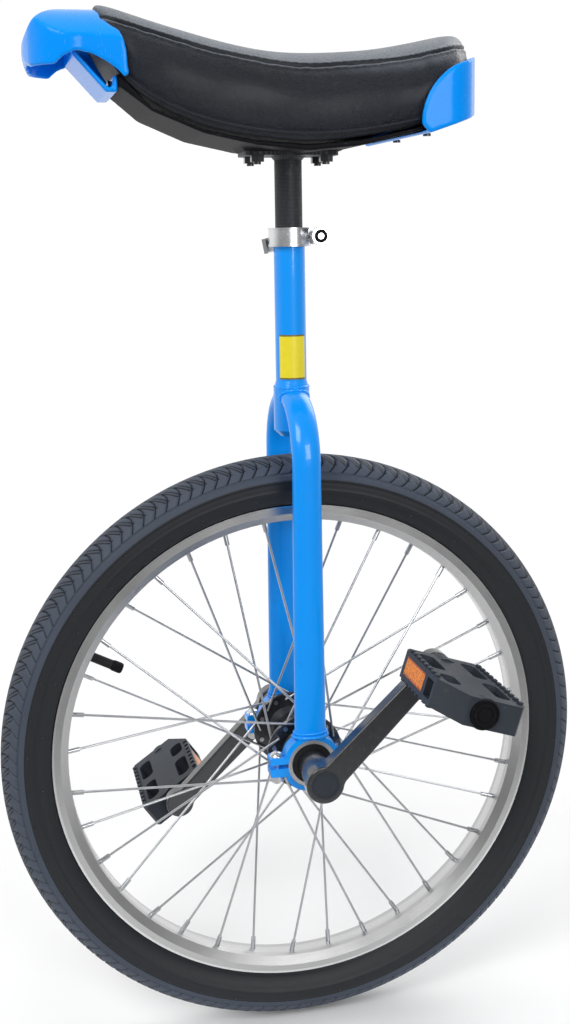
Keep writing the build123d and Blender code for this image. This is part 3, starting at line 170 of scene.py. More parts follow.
def pipe(path, radius, sides=8, closed=True):
    """A round bead along a path: each path point carries a circle square to the path, whose radius
    may change along it."""
    path = np.asarray(path, dtype=float)
    radius = np.broadcast_to(radius, len(path))
    if closed:
        tangent = np.roll(path, -1, axis=0) - np.roll(path, 1, axis=0)
    else:
        tangent = np.gradient(path, axis=0)
    tangent /= np.linalg.norm(tangent, axis=1, keepdims=True)
    middle = path.mean(axis=0)
    out = path - middle
    out -= (out * tangent).sum(axis=1, keepdims=True) * tangent
    out /= np.linalg.norm(out, axis=1, keepdims=True)
    side = np.cross(tangent, out)
    turn = 2 * math.pi * np.arange(sides) / sides
    circle = out[:, None] * np.cos(turn)[None, :, None] + side[:, None] * np.sin(turn)[None, :, None]
    points = path[:, None] + circle * radius[:, None, None]
    return points, grid_faces(len(path), sides, closed, True)


def joined(parts):
    """One set of points and faces from several."""
    points, faces, count = [], [], 0
    for part_points, part_faces in parts:
        flat = part_points.reshape(-1, 3)
        points.append(flat)
        faces.append(part_faces + count)
        count += len(flat)
    return np.concatenate(points), np.concatenate(faces)


def repeated(points, faces, places, frames):
    """Copies of one small shape: copy n is its points times frame n plus place n."""
    copies = np.einsum("pk,nkc->npc", points, frames) + places[:, None]
    steps = np.arange(len(places))[:, None, None] * len(points)
    return copies, (faces[None] + steps).reshape(-1, faces.shape[1])


def capsule(length, radius, sides=6):
    """A short round-ended rod along its first axis, from rings whose radius follows a quarter circle
    at each end."""
    rise = np.radians([-88.0, -40.0, 0.0, 0.0, 40.0, 88.0])
    ends = np.array([-1.0, -1.0, -1.0, 1.0, 1.0, 1.0]) * (length / 2 - radius)
    x = ends + radius * np.sin(rise)
    ring = radius * np.cos(rise)
    turn = 2 * math.pi * np.arange(sides) / sides
    grid = np.stack([
        np.broadcast_to(x[:, None], (len(x), sides)),
        ring[:, None] * np.cos(turn),
        ring[:, None] * np.sin(turn),
    ], axis=-1)
    return grid.reshape(-1, 3), grid_faces(len(x), sides, False, True)[:, ::-1]


# ---------------------------------------------------------------- saddle
def saddle_net():
    """Control points of the pad: each section is scaled to its half width and depth, mirrored to a
    closed ring, and the end sections are drawn in to round ends."""
    y, crown, low, half = SADDLE.T
    share_x, share_z, lift = SECTION.T
    x = half[:, None] * share_x
    z = crown[:, None] - (crown - low)[:, None] * share_z + lift
    half_ring = np.stack([x, np.broadcast_to(y[:, None], x.shape), z], axis=-1)
    mirror = half_ring[:, -2:0:-1] * np.array([-1.0, 1.0, 1.0])
    ring = np.concatenate([half_ring, mirror], axis=1)

    def drawn_in(section, shares, step):
        middle = section.mean(axis=0)
        rings = []
        for share, reach in shares:
            rings.append(middle + (section - middle) * share + np.array([0.0, step * reach, 0.0]))
        return np.stack(rings)

    close = [(0.93, 2.0), (0.72, 3.4), (0.40, 4.0), (0.02, 4.0)]
    front = drawn_in(ring[0], close, -1.0)[::-1]
    back = drawn_in(ring[-1], close, 1.0)
    return np.concatenate([front, ring, back]) * MM


def saddle_surface(seam_depth, pitch):
    """The pad as a grid of sections, its grid line at the seam and at the lower edge, and the
    outward normals. A seam is a narrow valley, with a swell on each side that puckers at each
    stitch, and shallow creases run down from it."""
    along, around = 14, 13
    rings = spline(saddle_net(), along, closed=False)
    points = np.swapaxes(spline(np.swapaxes(rings, 0, 1), around, closed=True), 0, 1)
    normal = surface_normals(points)
    middle = points.mean(axis=1, keepdims=True)
    if np.mean(((points - middle) * normal)[len(points) // 2]) < 0:
        normal = -normal
    count = points.shape[1]
    seam_right = round(SEAM_AT * around)
    edge_right = round(EDGE_AT * around)
    y = points[..., 1] / MM
    x = points[..., 0] / MM
    z = points[..., 2] / MM
    fade = np.clip((150 - np.abs(y)) / 14, 0, 1)
    lift = np.zeros(points.shape[:2])
    for line in (seam_right, count - seam_right):
        seam = points[:, line : line + 1]
        away = np.linalg.norm(points - seam, axis=-1) / MM
        below = (z < seam[..., 2] / MM).astype(float)
        pucker = 0.62 + 0.38 * np.cos(2 * math.pi * y / (pitch / MM))
        valley = -seam_depth / MM * np.exp(-((away / 1.25) ** 2))
        swell = 0.62 * pucker * np.exp(-(((away - 3.4) / 1.7) ** 2))
        crease_wave = np.sin(y / 3.1 + 2.2 * np.sin(y / 17.0)) * np.sin(y / 9.7 + 1.3)
        crease = 0.42 * below * crease_wave * np.exp(-((away / 15.0) ** 2))
        lift += (valley + swell + crease) * fade
    side = np.clip(np.abs(x) / 60, 0, 1) ** 2
    slow = np.sin(y / 21 + 0.8) * np.sin(z / 13 + y / 40) + 0.6 * np.sin(y / 11.3 - z / 17 + 2.1)
    folds = 0.55 * side * slow * fade
    top_ripple = 0.35 * np.sin(y / 14 + 0.4 * np.sin(x / 9)) * np.exp(-((x / 40) ** 2)) * fade
    edge = np.exp(-((np.abs(z - (points[:, edge_right : edge_right + 1, 2] / MM)) / 5) ** 2))
    lift += folds * (1 - 0.7 * edge) + top_ripple
    points = points + normal * (lift * MM)[..., None]
    return points, normal, seam_right, edge_right


def build_saddle(shape):
    """The pad with its seams, the stitches in them and the piping round the lower edge."""
    points, normal, seam_line, edge_line = saddle_surface(shape.seam_depth, shape.stitch_pitch)
    rows, columns = points.shape[:2]
    faces = grid_faces(rows, columns, False, True)
    caps = np.array([np.arange(columns), (rows - 1) * columns + np.arange(columns)[::-1]])
    pad = add_piece("saddle_pad", points, faces, "seat", "cover_leather")
    close_ends(pad, caps)
    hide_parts("saddle_cover", "saddle_foam")
    pad.data.materials.append(MADE["saddle_leather"])

    def line_at(index):
        return points[:, index % columns], normal[:, index % columns]

    stitches = []
    for index in (seam_line, columns - seam_line):
        path, out = line_at(index)
        keep = np.abs(path[:, 1]) < 0.141
        path, out = path[keep], out[keep]
        step = np.linalg.norm(np.diff(path, axis=0), axis=1)
        run = np.concatenate([[0.0], np.cumsum(step)])
        at = np.arange(shape.stitch_pitch, run[-1], shape.stitch_pitch)
        place = np.stack([np.interp(at, run, path[:, k]) for k in range(3)], axis=1)
        ahead = np.stack([np.interp(at + MM, run, path[:, k]) for k in range(3)], axis=1) - place
        up = np.stack([np.interp(at, run, out[:, k]) for k in range(3)], axis=1)
        ahead /= np.linalg.norm(ahead, axis=1, keepdims=True)
        up -= (up * ahead).sum(axis=1, keepdims=True) * ahead
        up /= np.linalg.norm(up, axis=1, keepdims=True)
        frames = np.stack([ahead, np.cross(up, ahead), up], axis=1)
        shape_points, shape_faces = capsule(shape.stitch_pitch * 0.66, 0.42 * MM)
        stitches.append(repeated(shape_points, shape_faces, place + up * 0.35 * MM, frames))
    thread = add_piece("saddle_stitching", *joined(stitches), "seat", "cover_leather")
    thread.data.materials.append(MADE["saddle_thread"])

    right, right_out = line_at(edge_line)
    left, left_out = line_at(columns - edge_line)
    keep = slice(21, rows - 21)
    loop = np.concatenate([right[keep], left[keep][::-1]])
    out = np.concatenate([right_out[keep], left_out[keep][::-1]])
    piping = add_piece("saddle_piping", *pipe(loop + out * 0.5 * MM, 1.35 * MM, 8), "seat", "cover_leather")
    piping.data.materials.append(MADE["saddle_piping"])


def build_moulding(node, name, finish):
    """A moulded plastic piece of the saddle: the CAD node's shape in small even faces, whose edges
    are rounded by pulling each point towards the mean of its neighbours."""
    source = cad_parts[node]
    work = bmesh.new()
    work.from_mesh(source.data)
    bmesh.ops.remove_doubles(work, verts=work.verts, dist=0.001 * MM)
    mesh = bpy.data.meshes.new(name)
    work.to_mesh(mesh)
    work.free()
    mesh.materials.clear()
    piece = bpy.data.objects.new(name, mesh)
    piece.matrix_world = source.matrix_world.copy()
    bpy.context.scene.collection.objects.link(piece)
    remesh = piece.modifiers.new("even", "REMESH")
    remesh.mode = "VOXEL"
    remesh.voxel_size = 1.3 * MM
    remesh.use_smooth_shade = True
    soften = piece.modifiers.new("soft edges", "SMOOTH")
    soften.factor = 0.5
    soften.iterations = 7
    made = bpy.data.meshes.new_from_object(piece.evaluated_get(bpy.context.evaluated_depsgraph_get()))
    piece.modifiers.clear()
    piece.data = made
    made.polygons.foreach_set("use_smooth", np.full(len(made.polygons), True))
    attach(piece, "seat")
    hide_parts(node)
    made.materials.clear()
    made.materials.append(MADE[finish])


def close_ends(piece, loops):
    """Closes the small open rings at a surface's ends with one face each."""
    mesh = piece.data
    count = len(mesh.vertices)
    points = np.empty(count * 3, np.float32)
    mesh.vertices.foreach_get("co", points)
    faces = [list(p.vertices) for p in mesh.polygons]
    faces.extend([loop.tolist()[::-1] for loop in loops])
    mesh.clear_geometry()
    mesh.from_pydata(points.reshape(-1, 3).tolist(), [], faces)
    mesh.polygons.foreach_set("use_smooth", np.full(len(mesh.polygons), True))
    face_outwards(piece)


def face_outwards(piece):
    """Turns every face of a closed piece outwards."""
    bpy.context.view_layer.objects.active = piece
    for other in bpy.context.selected_objects:
        other.select_set(False)
    piece.select_set(True)
    bpy.ops.object.mode_set(mode="EDIT")
    bpy.ops.mesh.select_all(action="SELECT")
    bpy.ops.mesh.normals_make_consistent(inside=False)
    bpy.ops.object.mode_set(mode="OBJECT")


# ---------------------------------------------------------------- tyre
def tyre_profile():
    """Angles across the casing from the middle of the tread, in degrees, close together where a
    groove or a ridge needs them."""
    tread = np.linspace(0, 57, 15)
    shoulder = np.array([59.0, 60.0, 61.2, 63.0, 64.2])
    ridges = np.array([68.4, 69.4, 70.4, 73.2, 74.2, 75.2, 78.0, 79.0, 80.0])
    wall = np.array([86, 93, 99, 100.4, 101.8, 109, 117, 125, 131, 135])
    half = np.concatenate([tread, shoulder, ridges, wall])
    return np.concatenate([-half[:0:-1], half])


def build_tyre(shape):
    """The tyre: a round casing whose tread has bowed grooves. A point's radius is the casing's
    less the groove it lies in, and the grid's own lines lean with the grooves, so each groove has
    straight walls. Two shoulder grooves and fine ridges run right round."""
    across = tyre_profile()
    angle = np.radians(across)
    steps = np.array([0.0, 0.025, 0.125, 0.15, 0.36, 0.58, 0.80])
    blocks = shape.tread_blocks
    u = (np.arange(blocks)[:, None] + steps).reshape(-1)
    in_groove = np.tile(np.array([0.0, 1.0, 1.0, 0.0, 0.0, 0.0, 0.0]), blocks)
    size = np.abs(across)
    tread = np.clip((61.2 - size) / 1.2, 0, 1)
    lean = -0.6 * np.sin(np.clip(size, 0, 62) / 62 * math.pi)
    middle_rib = np.clip((size - 4.0) / 4.0, 0, 1)
    depth = shape.tread_depth * in_groove[:, None] * (tread * (0.55 + 0.45 * middle_rib))[None]
    ring_groove = np.where((size > 60.5) & (size < 63.6), 1.1 * MM, 0.0)
    on_ridge = np.isin(across.round(1), [69.4, 74.2, 79.0, -69.4, -74.2, -79.0])
    ridge = np.where(on_ridge, 0.55 * MM, 0)
    band = np.where(np.isin(across.round(1), [100.4, -100.4]), 0.5 * MM, 0)
    step_down = np.where(size > 62, 0.35 * MM, 0.0)
    radius = CASING_R - ring_groove + ridge + band - step_down
    section_r = radius[None] - depth
    turn = (u[:, None] + lean[None]) * (2 * math.pi / blocks)
    x = section_r * np.sin(angle)
    r = CASING_CENTRE_R + section_r * np.cos(angle)
    inner = np.array([
        (BEAD_HALF, RIM_EDGE_R + 0.3 * MM),
        (BEAD_HALF, BEAD_R),
        (BEAD_HALF - 3.0 * MM, BEAD_R),
        (BEAD_HALF - 3.2 * MM, BEAD_R + 6 * MM),
        (CASING_R - 3.0 * MM, CASING_CENTRE_R),
        (CASING_R * 0.6, TYRE_R - 9 * MM),
        (0.0, TYRE_R - 5.8 * MM),
        (-CASING_R * 0.6, TYRE_R - 9 * MM),
        (3.0 * MM - CASING_R, CASING_CENTRE_R),
        (3.2 * MM - BEAD_HALF, BEAD_R + 6 * MM),
        (3.0 * MM - BEAD_HALF, BEAD_R),
        (-BEAD_HALF, BEAD_R),
        (-BEAD_HALF, RIM_EDGE_R + 0.3 * MM),
    ])
    full = (len(u), len(inner))
    x = np.concatenate([x, np.broadcast_to(inner[:, 0], full)], axis=1)
    r = np.concatenate([r, np.broadcast_to(inner[:, 1], full)], axis=1)
    turn = np.concatenate([turn, np.broadcast_to(turn[:, :1], full)], axis=1)
    points = np.stack([x, r * np.cos(turn), AXLE_Z + r * np.sin(turn)], axis=-1)
    rows, columns = x.shape
    faces = grid_faces(rows, columns, True, True)
    tyre = add_piece("tyre_tread", points, faces, "wheel", "tyre")
    across_all = np.concatenate([across, np.full(len(inner), 180.0)])
    uv_rows = np.concatenate([u, [float(blocks)]])
    uv = np.empty((len(faces), 4, 2))
    row = faces // columns
    column = faces % columns
    wraps = (row == 0) & (row.max(axis=1, keepdims=True) == rows - 1)
    uv[..., 0] = uv_rows[np.where(wraps, rows, row)]
    uv[..., 1] = across_all[column] / 180
    layer = tyre.data.uv_layers.new(name="tread")
    layer.data.foreach_set("uv", uv.reshape(-1))
    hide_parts("tyre")
    tyre.data.materials.append(MADE["tyre_rubber"])
    build_tyre_hairs(shape)


def build_tyre_hairs(shape):
    """Short moulding hairs that stand out of both sidewalls, in two rings."""
    parts = []
    for side in (1, -1):
        for across, count, offset in ((84.0, 46, 0.2), (112.0, 30, 0.9)):
            lean = math.radians(across)
            turn = offset + 2 * math.pi * np.arange(count) / count
            r = CASING_CENTRE_R + CASING_R * math.cos(lean)
            place = np.stack([
                np.full(count, side * CASING_R * math.sin(lean)),
                r * np.cos(turn),
                AXLE_Z + r * np.sin(turn),
            ], axis=1)
            out = np.stack([
                np.full(count, side * math.sin(lean)),
                math.cos(lean) * np.cos(turn),
                math.cos(lean) * np.sin(turn),
            ], axis=1)
            around = np.stack([np.zeros(count), -np.sin(turn), np.cos(turn)], axis=1)
            frames = np.stack([out, around, np.cross(out, around)], axis=1)
            parts.append(repeated(*capsule(shape.hair_length, 0.35 * MM, 5), place, frames))
    hairs = add_piece("tyre_hairs", *joined(parts), "wheel", "tyre")
    hairs.data.materials.append(MADE["tyre_rubber_plain"])


# ---------------------------------------------------------------- frame welds and valve cap
def build_welds(shape):
    """Weld beads: a rippled round bead where each leg enters the crown sleeve, on the line where the
    bent leg meets the sleeve, two above each bearing holder, and a soft one on top of the sleeve."""
    turn = 2 * math.pi * np.arange(144) / 144
    ripple = 1 + 0.13 * np.cos(26 * turn)
    parts = []
    for side in (1, -1):
        y = 12.0 * MM * np.cos(turn)
        bend_r = LEG_X + 7.7 * MM * np.sin(turn)
        x = np.sqrt(np.maximum(SLEEVE_R**2 - y**2, 0))
        z = LEG_BEND_Z + np.sqrt(bend_r**2 - x**2)
        parts.append(pipe(np.stack([side * x, y, z], axis=1), shape.weld_size * ripple, 10))
        for lift, grow, share in ((0.6, 0.9, 1.0), (3.6, 0.35, 0.8)):
            foot = np.stack([
                side * (LEG_X + (7.5 + grow) * MM * np.sin(turn)),
                (13.1 + grow) * MM * np.cos(turn),
                np.full(len(turn), HOLDER_TOP_Z + lift * MM),
            ], axis=1)
            parts.append(pipe(foot, shape.weld_size * share * ripple, 10))
    top = np.stack([
        (TUBE_R + 0.9 * MM) * np.cos(turn),
        (TUBE_R + 0.9 * MM) * np.sin(turn),
        np.full(len(turn), SLEEVE_TOP_Z + 1.6 * MM),
    ], axis=1)
    parts.append(pipe(top, 1.5 * MM * (1 + 0.05 * np.cos(20 * turn)), 12))
    welds = add_piece("frame_welds", *joined(parts), "frame", "blue_paint")
    welds.data.materials.append(MADE["frame_paint"])


def build_valve_cap(shape):
    """The valve's cap: a closed turned shape along the valve, whose outside has upright ribs, as its
    radius rises and falls round it."""
    low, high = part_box("valve_cap")
    away = np.array([0.0, math.cos(VALVE_ANGLE), math.sin(VALVE_ANGLE)])
    corners = np.array([[low[1], low[2] - AXLE_Z], [low[1], high[2] - AXLE_Z],
                        [high[1], low[2] - AXLE_Z], [high[1], high[2] - AXLE_Z]])
    middle_r = float(np.mean(corners @ away[1:]))
    half = 5.1 * MM
    cap_r = (high[0] - low[0]) / 2 - 0.15 * MM
    run = np.array([-1.0, -1.0, -0.94, -0.8, -0.3, 0.3, 0.62, 0.7, 0.98, 1.0, 1.0]) * half
    size = np.array([0.02, 0.62, 0.86, 0.97, 1.0, 1.0, 1.0, 0.9, 0.88, 0.8, 0.02]) * cap_r
    ribbed = np.array([0, 0, 0.3, 1, 1, 1, 1, 0, 0, 0, 0])
    turn = 2 * math.pi * np.arange(96) / 96
    r = size[:, None] * (1 - 0.07 * ribbed[:, None] * (0.5 + 0.5 * np.cos(shape.cap_ribs * turn)))
    side = np.array([1.0, 0.0, 0.0])
    across = np.cross(away, side)
    points = (
        np.array([0, 0, AXLE_Z])
        + (middle_r + run)[:, None, None] * away
        + (r * np.cos(turn))[..., None] * side
        + (r * np.sin(turn))[..., None] * across
    )
    faces = grid_faces(len(run), len(turn), False, True)
    cap = add_piece("valve_cap_ribbed", points, faces, "wheel", "black_plastic")
    ring = np.arange(len(turn))
    close_ends(cap, [ring, (len(run) - 1) * len(turn) + ring[::-1]])
    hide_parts("valve_cap")
    cap.data.materials.append(MADE["moulded_black"])


# ---------------------------------------------------------------- finishes
class Value:
    """A number in a finish. Sums on it add Math nodes."""

    def __init__(self, finish, socket):
        self.finish = finish
        self.socket = socket

    def math(self, operation, *others):
        return self.finish.node("Math", {"operation": operation}, dict(enumerate((self, *others))))

    def __add__(self, other):
        return self.math("ADD", other)

    __radd__ = __add__

    def __mul__(self, other):
        return self.math("MULTIPLY", other)

    __rmul__ = __mul__

    def __sub__(self, other):
        return self.math("SUBTRACT", other)

    def __rsub__(self, other):
        return self.finish.node("Math", {"operation": "SUBTRACT"}, {0: other, 1: self})

    def __abs__(self):
        return self.math("ABSOLUTE")


class Finish:
    """One material. The node method adds any node, and link joins what varies to the shader."""

    def __init__(self, name, colour, roughness, metallic=0.0, **constants):
        self.material = bpy.data.materials.new(name)
        self.material.use_nodes = True
        self.tree = self.material.node_tree
        self.tree.nodes.clear()
        self.shader = self.tree.nodes.new("ShaderNodeBsdfPrincipled")
        output = self.tree.nodes.new("ShaderNodeOutputMaterial")
        self.tree.links.new(self.shader.outputs[0], output.inputs[0])
        self.shader.inputs["Base Color"].default_value = (*colour, 1.0)
        self.shader.inputs["Roughness"].default_value = roughness
        self.shader.inputs["Metallic"].default_value = metallic
        for key, value in constants.items():
            self.shader.inputs[key.replace("_", " ").title().replace("Ior", "IOR")].default_value = value

    def node(self, kind, settings=None, sockets=None, output=0):
        """Adds a node, sets what it is set to, then fills its sockets with values or links."""
        made = self.tree.nodes.new("ShaderNode" + kind)
        for key, value in (settings or {}).items():
            setattr(made, key, value)
        for key, value in (sockets or {}).items():
            if isinstance(value, Value):
                self.tree.links.new(value.socket, made.inputs[key])
            else:
                made.inputs[key].default_value = value
        return Value(self, made.outputs[output])

    def place(self, stretch=(1.0, 1.0, 1.0)):
        """Object coordinates, stretched."""
        point = self.node("TexCoord", output=3)
        return self.node("Mapping", {}, {"Vector": point, "Scale": stretch})

    def parts_of(self, vector):
        """The three numbers of a vector."""
        return [self.node("SeparateXYZ", {}, {0: vector}, output) for output in range(3)]

    def noise(self, scale, detail=3.0, stretch=(1.0, 1.0, 1.0)):
        return self.node("TexNoise", {}, {"Vector": self.place(stretch), "Scale": scale, "Detail": detail})

    def cells(self, scale, feature="F1", stretch=(1.0, 1.0, 1.0)):
        sockets = {"Vector": self.place(stretch), "Scale": scale}
        return self.node("TexVoronoi", {"feature": feature}, sockets)

    def rise(self, value, low, high):
        """0 below low, 1 above high, and smooth between."""
        sockets = {"Value": value, "From Min": low, "From Max": high}
        return self.node("MapRange", {"interpolation_type": "SMOOTHSTEP"}, sockets)

    def tint(self, factor, low, high):
        """A colour between two, by a factor."""
        sockets = {0: factor, 6: (*low, 1.0), 7: (*high, 1.0)}
        return self.node("Mix", {"data_type": "RGBA"}, sockets, output=2)

    def over(self, factor, under, top):
        """A fixed colour laid over a varying one."""
        sockets = {0: factor, 6: under, 7: (*top, 1.0)}
        return self.node("Mix", {"data_type": "RGBA"}, sockets, output=2)

    def link(self, **sockets):
        for key, value in sockets.items():
            name = key.replace("_", " ").title()
            self.tree.links.new(value.socket, self.shader.inputs[name])
        return self

    def bump(self, height, distance, strength=1.0):
        """Relief of a real depth in metres."""
        sockets = {"Height": height, "Distance": distance, "Strength": strength}
        self.link(normal=self.node("Bump", {}, sockets))
        return self


def shade(colour, share):
    return tuple(min(1.0, c * share) for c in colour)


def make_paint(name, colour, speckle=0.10):
    """Sprayed gloss enamel: slow colour change, orange peel, and a few dull rubbed places."""
    f = Finish(name, colour, 0.34, coat_weight=0.45, coat_roughness=0.05, specular_ior_level=0.25)
    slow = f.noise(9.0, 4.0)
    peel = f.noise(620.0, 2.0)
    rub = f.rise(f.noise(60.0, 6.0), 0.62, 0.75)
    base = f.tint(slow, shade(colour, 0.9), shade(colour, 1.08))
    f.link(base_color=f.over(rub * speckle, base, shade(colour, 0.6)))
    f.link(roughness=0.24 + slow * 0.10 + rub * 0.12)
    f.bump(peel + f.noise(90.0, 2.0) * 1.5, 0.00006, 0.5)
    return f.material


def make_blue_plastic(colour):
    """Glossy moulded plastic with flow streaks and a very fine rippled skin."""
    f = Finish("blue_plastic", colour, 0.34, coat_weight=0.03, coat_roughness=0.08, specular_ior_level=0.14)
    flow = f.noise(22.0, 3.0, (1.0, 0.35, 1.4))
    scuff = f.rise(f.noise(240.0, 5.0, (1.0, 4.0, 1.0)), 0.60, 0.72)
    base = f.tint(flow, shade(colour, 0.92), shade(colour, 1.1))
    f.link(base_color=f.over(scuff * 0.08, base, (0.35, 0.6, 1.0)))
    f.link(roughness=0.18 + scuff * 0.16 + flow * 0.06)
    f.bump(f.noise(140.0, 2.0), 0.00012, 0.35)
    return f.material


def make_leather(name, colour, crown, grain, shine):
    """Grained leathercloth: pebbles from cell edges, pores, fine creases, a painted reflection that
    makes the upward-facing crown paler, and painted shade in the crevices between the pebbles."""
    f = Finish(name, colour, 0.5, coat_weight=0.2, coat_roughness=0.3, specular_ior_level=0.6)
    pebble = f.cells(grain, "DISTANCE_TO_EDGE")
    fine = f.cells(grain * 2.3, "DISTANCE_TO_EDGE", (1.0, 0.8, 1.0))
    crease = f.noise(46.0, 6.0, (1.0, 2.2, 0.7))
    slow = f.noise(14.0, 4.0)
    # Painted reflection: faces that point upwards take the paler crown colour.
    facing = f.parts_of(f.node("TexCoord", output=1))[2]
    painted_crown_reflection = f.rise(facing + slow * 0.2, 0.55, 1.0)
    hollow = f.rise(pebble, 0.0, 0.12)
    base = f.over(painted_crown_reflection, f.tint(slow, shade(colour, 0.7), shade(colour, 1.3)), crown)
    # Painted shade: the crevices between the pebbles are darkened.
    f.link(base_color=f.over((1.0 - hollow) * 0.55, base, shade(colour, 0.45)))
    f.link(roughness=shine + slow * 0.12 + (1.0 - hollow) * 0.15)
    wrinkle = f.rise(abs(f.noise(95.0, 3.0, (1.0, 1.6, 0.8)) - 0.5), 0.0, 0.05)
    wrinkle = wrinkle * 0.6 + f.rise(abs(f.noise(210.0, 2.0, (1.0, 0.8, 1.4)) - 0.5), 0.0, 0.08) * 0.4
    relief = hollow * 0.8 + f.rise(fine, 0.0, 0.18) * 0.3 + crease * 3.0 + wrinkle * 2.6
    f.bump(relief, 0.0012, 1.0)
    return f.material


def make_thread(colour):
    """Twisted thread: close slanted strands."""
    f = Finish("saddle_thread", colour, 0.6)
    twist = f.noise(1500.0, 2.0, (1.0, 0.4, 1.0))
    f.link(base_color=f.tint(twist, shade(colour, 0.6), shade(colour, 1.5)), roughness=0.5 + twist * 0.25)
    return f.bump(twist, 0.0002, 0.8).material


def make_tyre(name, colour, patterned):
    """Tyre rubber: fine mottle and dust. On the tread, two slanted slits cut each block, and painted
    shade darkens the slits and the grooves, from the piece's own map across and along the blocks."""
    f = Finish(name, colour, 0.62, specular_ior_level=0.42)
    mottle = f.noise(260.0, 5.0)
    slow = f.noise(12.0, 3.0)
    base = f.tint(slow, shade(colour, 0.85), shade(colour, 1.2))
    height = mottle * 0.35 + f.noise(1200.0, 2.0) * 0.25
    rough = 0.56 + mottle * 0.16
    if patterned:
        u, v, _ = f.parts_of(f.node("UVMap", {"uv_map": "tread"}, {}))
        on_block = u.math("FRACT")
        across = abs(v) * 180.0
        tread = 1.0 - f.rise(across, 59.5, 60.5)
        slit_mask = 0.0
        for start in (0.38, 0.68):
            bow = (1.0 - (across * (math.pi / 62)).math("SINE")) * 0.6
            line = on_block - start + (across - 31.0) * 0.030 + bow
            line = abs(line - line.math("ROUND"))
            slit_mask = (1.0 - f.rise(line, 0.055, 0.085)) + slit_mask
        ends = f.rise(across, 10.0, 12.0) * (1.0 - f.rise(across, 42.0, 44.0))
        slit = slit_mask.math("MINIMUM", 1.0) * tread * ends
        groove = tread * f.rise(on_block, 0.0, 0.03) * (1.0 - f.rise(on_block, 0.12, 0.15))
        # Painted shade: cut darkens the slits and the grooves.
        cut = slit.math("MAXIMUM", groove * 0.7)
        base = f.over(cut * 0.9, base, shade(colour, 0.12))
        wall = f.rise(across, 76.0, 78.5)
        base = f.over(wall * 0.95, base, shade(colour, 0.08))
        height = height - slit * 8.0
        rough = rough - wall * 0.10
    f.link(base_color=base, roughness=rough)
    return f.bump(height, 0.00016, 0.8).material


def make_rim(colour):
    """Drawn alloy: fine lines right round the wheel, brighter at the outer edge and in a middle band."""
    f = Finish("rim_alloy", colour, 0.26, 1.0)
    x, y, z = f.parts_of(f.place())
    height = z - AXLE_Z
    r = (y * y + height * height).math("SQRT")
    sockets = {"W": (r + x * 0.6) * 3800.0, "Scale": 1.0, "Detail": 3.0}
    lines = f.node("TexNoise", {"noise_dimensions": "1D"}, sockets)
    smear = f.noise(30.0, 3.0)
    edge = f.rise(r, RIM_EDGE_R - 2.4 * MM, RIM_EDGE_R - 1.2 * MM)
    band = 1.0 - f.rise(abs(x), 3.5 * MM, 6.0 * MM)
    bright = edge.math("MAXIMUM", band * 0.5)
    base = f.tint(smear * 0.5 + lines * 0.5, shade(colour, 0.82), shade(colour, 1.1))
    f.link(base_color=f.over(bright * 0.6, base, (0.85, 0.85, 0.86)))
    f.link(roughness=0.20 + lines * 0.12 + smear * 0.10 - bright * 0.10)
    return f.bump(lines, 0.00005, 0.5).material


def make_metal(name, colour, roughness, lines=(1.0, 1.0, 1.0), dirt=0.35):
    """Plated or turned metal: fine lines one way, cloudy smears, and a little dirt."""
    f = Finish(name, colour, roughness, 1.0)
    fine = f.noise(900.0, 3.0, lines)
    smear = f.noise(70.0, 4.0)
    spot = f.rise(f.noise(330.0, 5.0), 0.62, 0.74)
    base = f.tint(smear, shade(colour, 0.82), shade(colour, 1.12))
    f.link(base_color=f.over(spot * dirt, base, shade(colour, 0.35)))
    f.link(roughness=roughness + fine * 0.10 + smear * 0.08 + spot * 0.2)
    return f.bump(fine, 0.00004, 0.5).material


def make_black_enamel():
    """Black stove enamel over forged metal: soft unevenness and light dust."""
    black = (0.012, 0.013, 0.016)
    f = Finish("black_enamel", black, 0.26, 0.0, coat_weight=0.8, coat_roughness=0.12)
    slow = f.noise(40.0, 4.0)
    dust = f.rise(f.noise(420.0, 6.0), 0.58, 0.72)
    base = f.tint(slow, shade(black, 0.7), shade(black, 1.8))
    f.link(base_color=f.over(dust * 0.22, base, (0.10, 0.11, 0.12)))
    f.link(roughness=0.24 + slow * 0.14 + dust * 0.2)
    return f.bump(f.noise(180.0, 4.0), 0.0001, 0.6).material


def make_post():
    """Black seat post with a fine crossed pattern: two sets of lines climb round the tube opposite
    ways, and their sum is a field of small diamonds."""
    black = (0.018, 0.02, 0.024)
    f = Finish("post_black", black, 0.42, 0.2)
    x, y, z = f.parts_of(f.place())
    around = y.math("ARCTAN2", x)
    turns, climb = 34.0, 2 * math.pi / (2.1 * MM)
    one = (around * turns + z * climb).math("SINE")
    other = (around * turns - z * climb).math("SINE")
    diamond = one * other
    lift = f.rise(diamond, -0.2, 0.5)
    rub = f.noise(90.0, 4.0)
    # Painted light and shade on the knurl: the raised diamonds are painted lighter and the valleys between
    # them darker.
    base = f.tint(lift, shade(black, 0.5), shade(black, 2.6))
    f.link(base_color=f.over(f.rise(rub, 0.55, 0.75) * 0.3, base, (0.09, 0.095, 0.10)))
    f.link(roughness=0.50 - lift * 0.16 + rub * 0.1)
    return f.bump(lift, 0.00022, 0.8).material


def make_moulded(name, colour, roughness=0.5, grain=900.0):
    """Moulded plastic: spark-eroded grain, slow colour change, pale scuffs on high spots."""
    f = Finish(name, colour, roughness, specular_ior_level=0.12)
    fine = f.noise(grain, 3.0)
    slow = f.noise(26.0, 4.0)
    scuff = f.rise(f.noise(210.0, 6.0, (1.0, 1.0, 2.5)), 0.61, 0.74)
    base = f.tint(slow, shade(colour, 0.8), shade(colour, 1.3))
    f.link(base_color=f.over(scuff * 0.22, base, tuple(0.5 * c + 0.09 for c in colour)))
    f.link(roughness=roughness - 0.08 + fine * 0.16 + scuff * 0.15)
    return f.bump(fine, 0.00012, 0.6).material


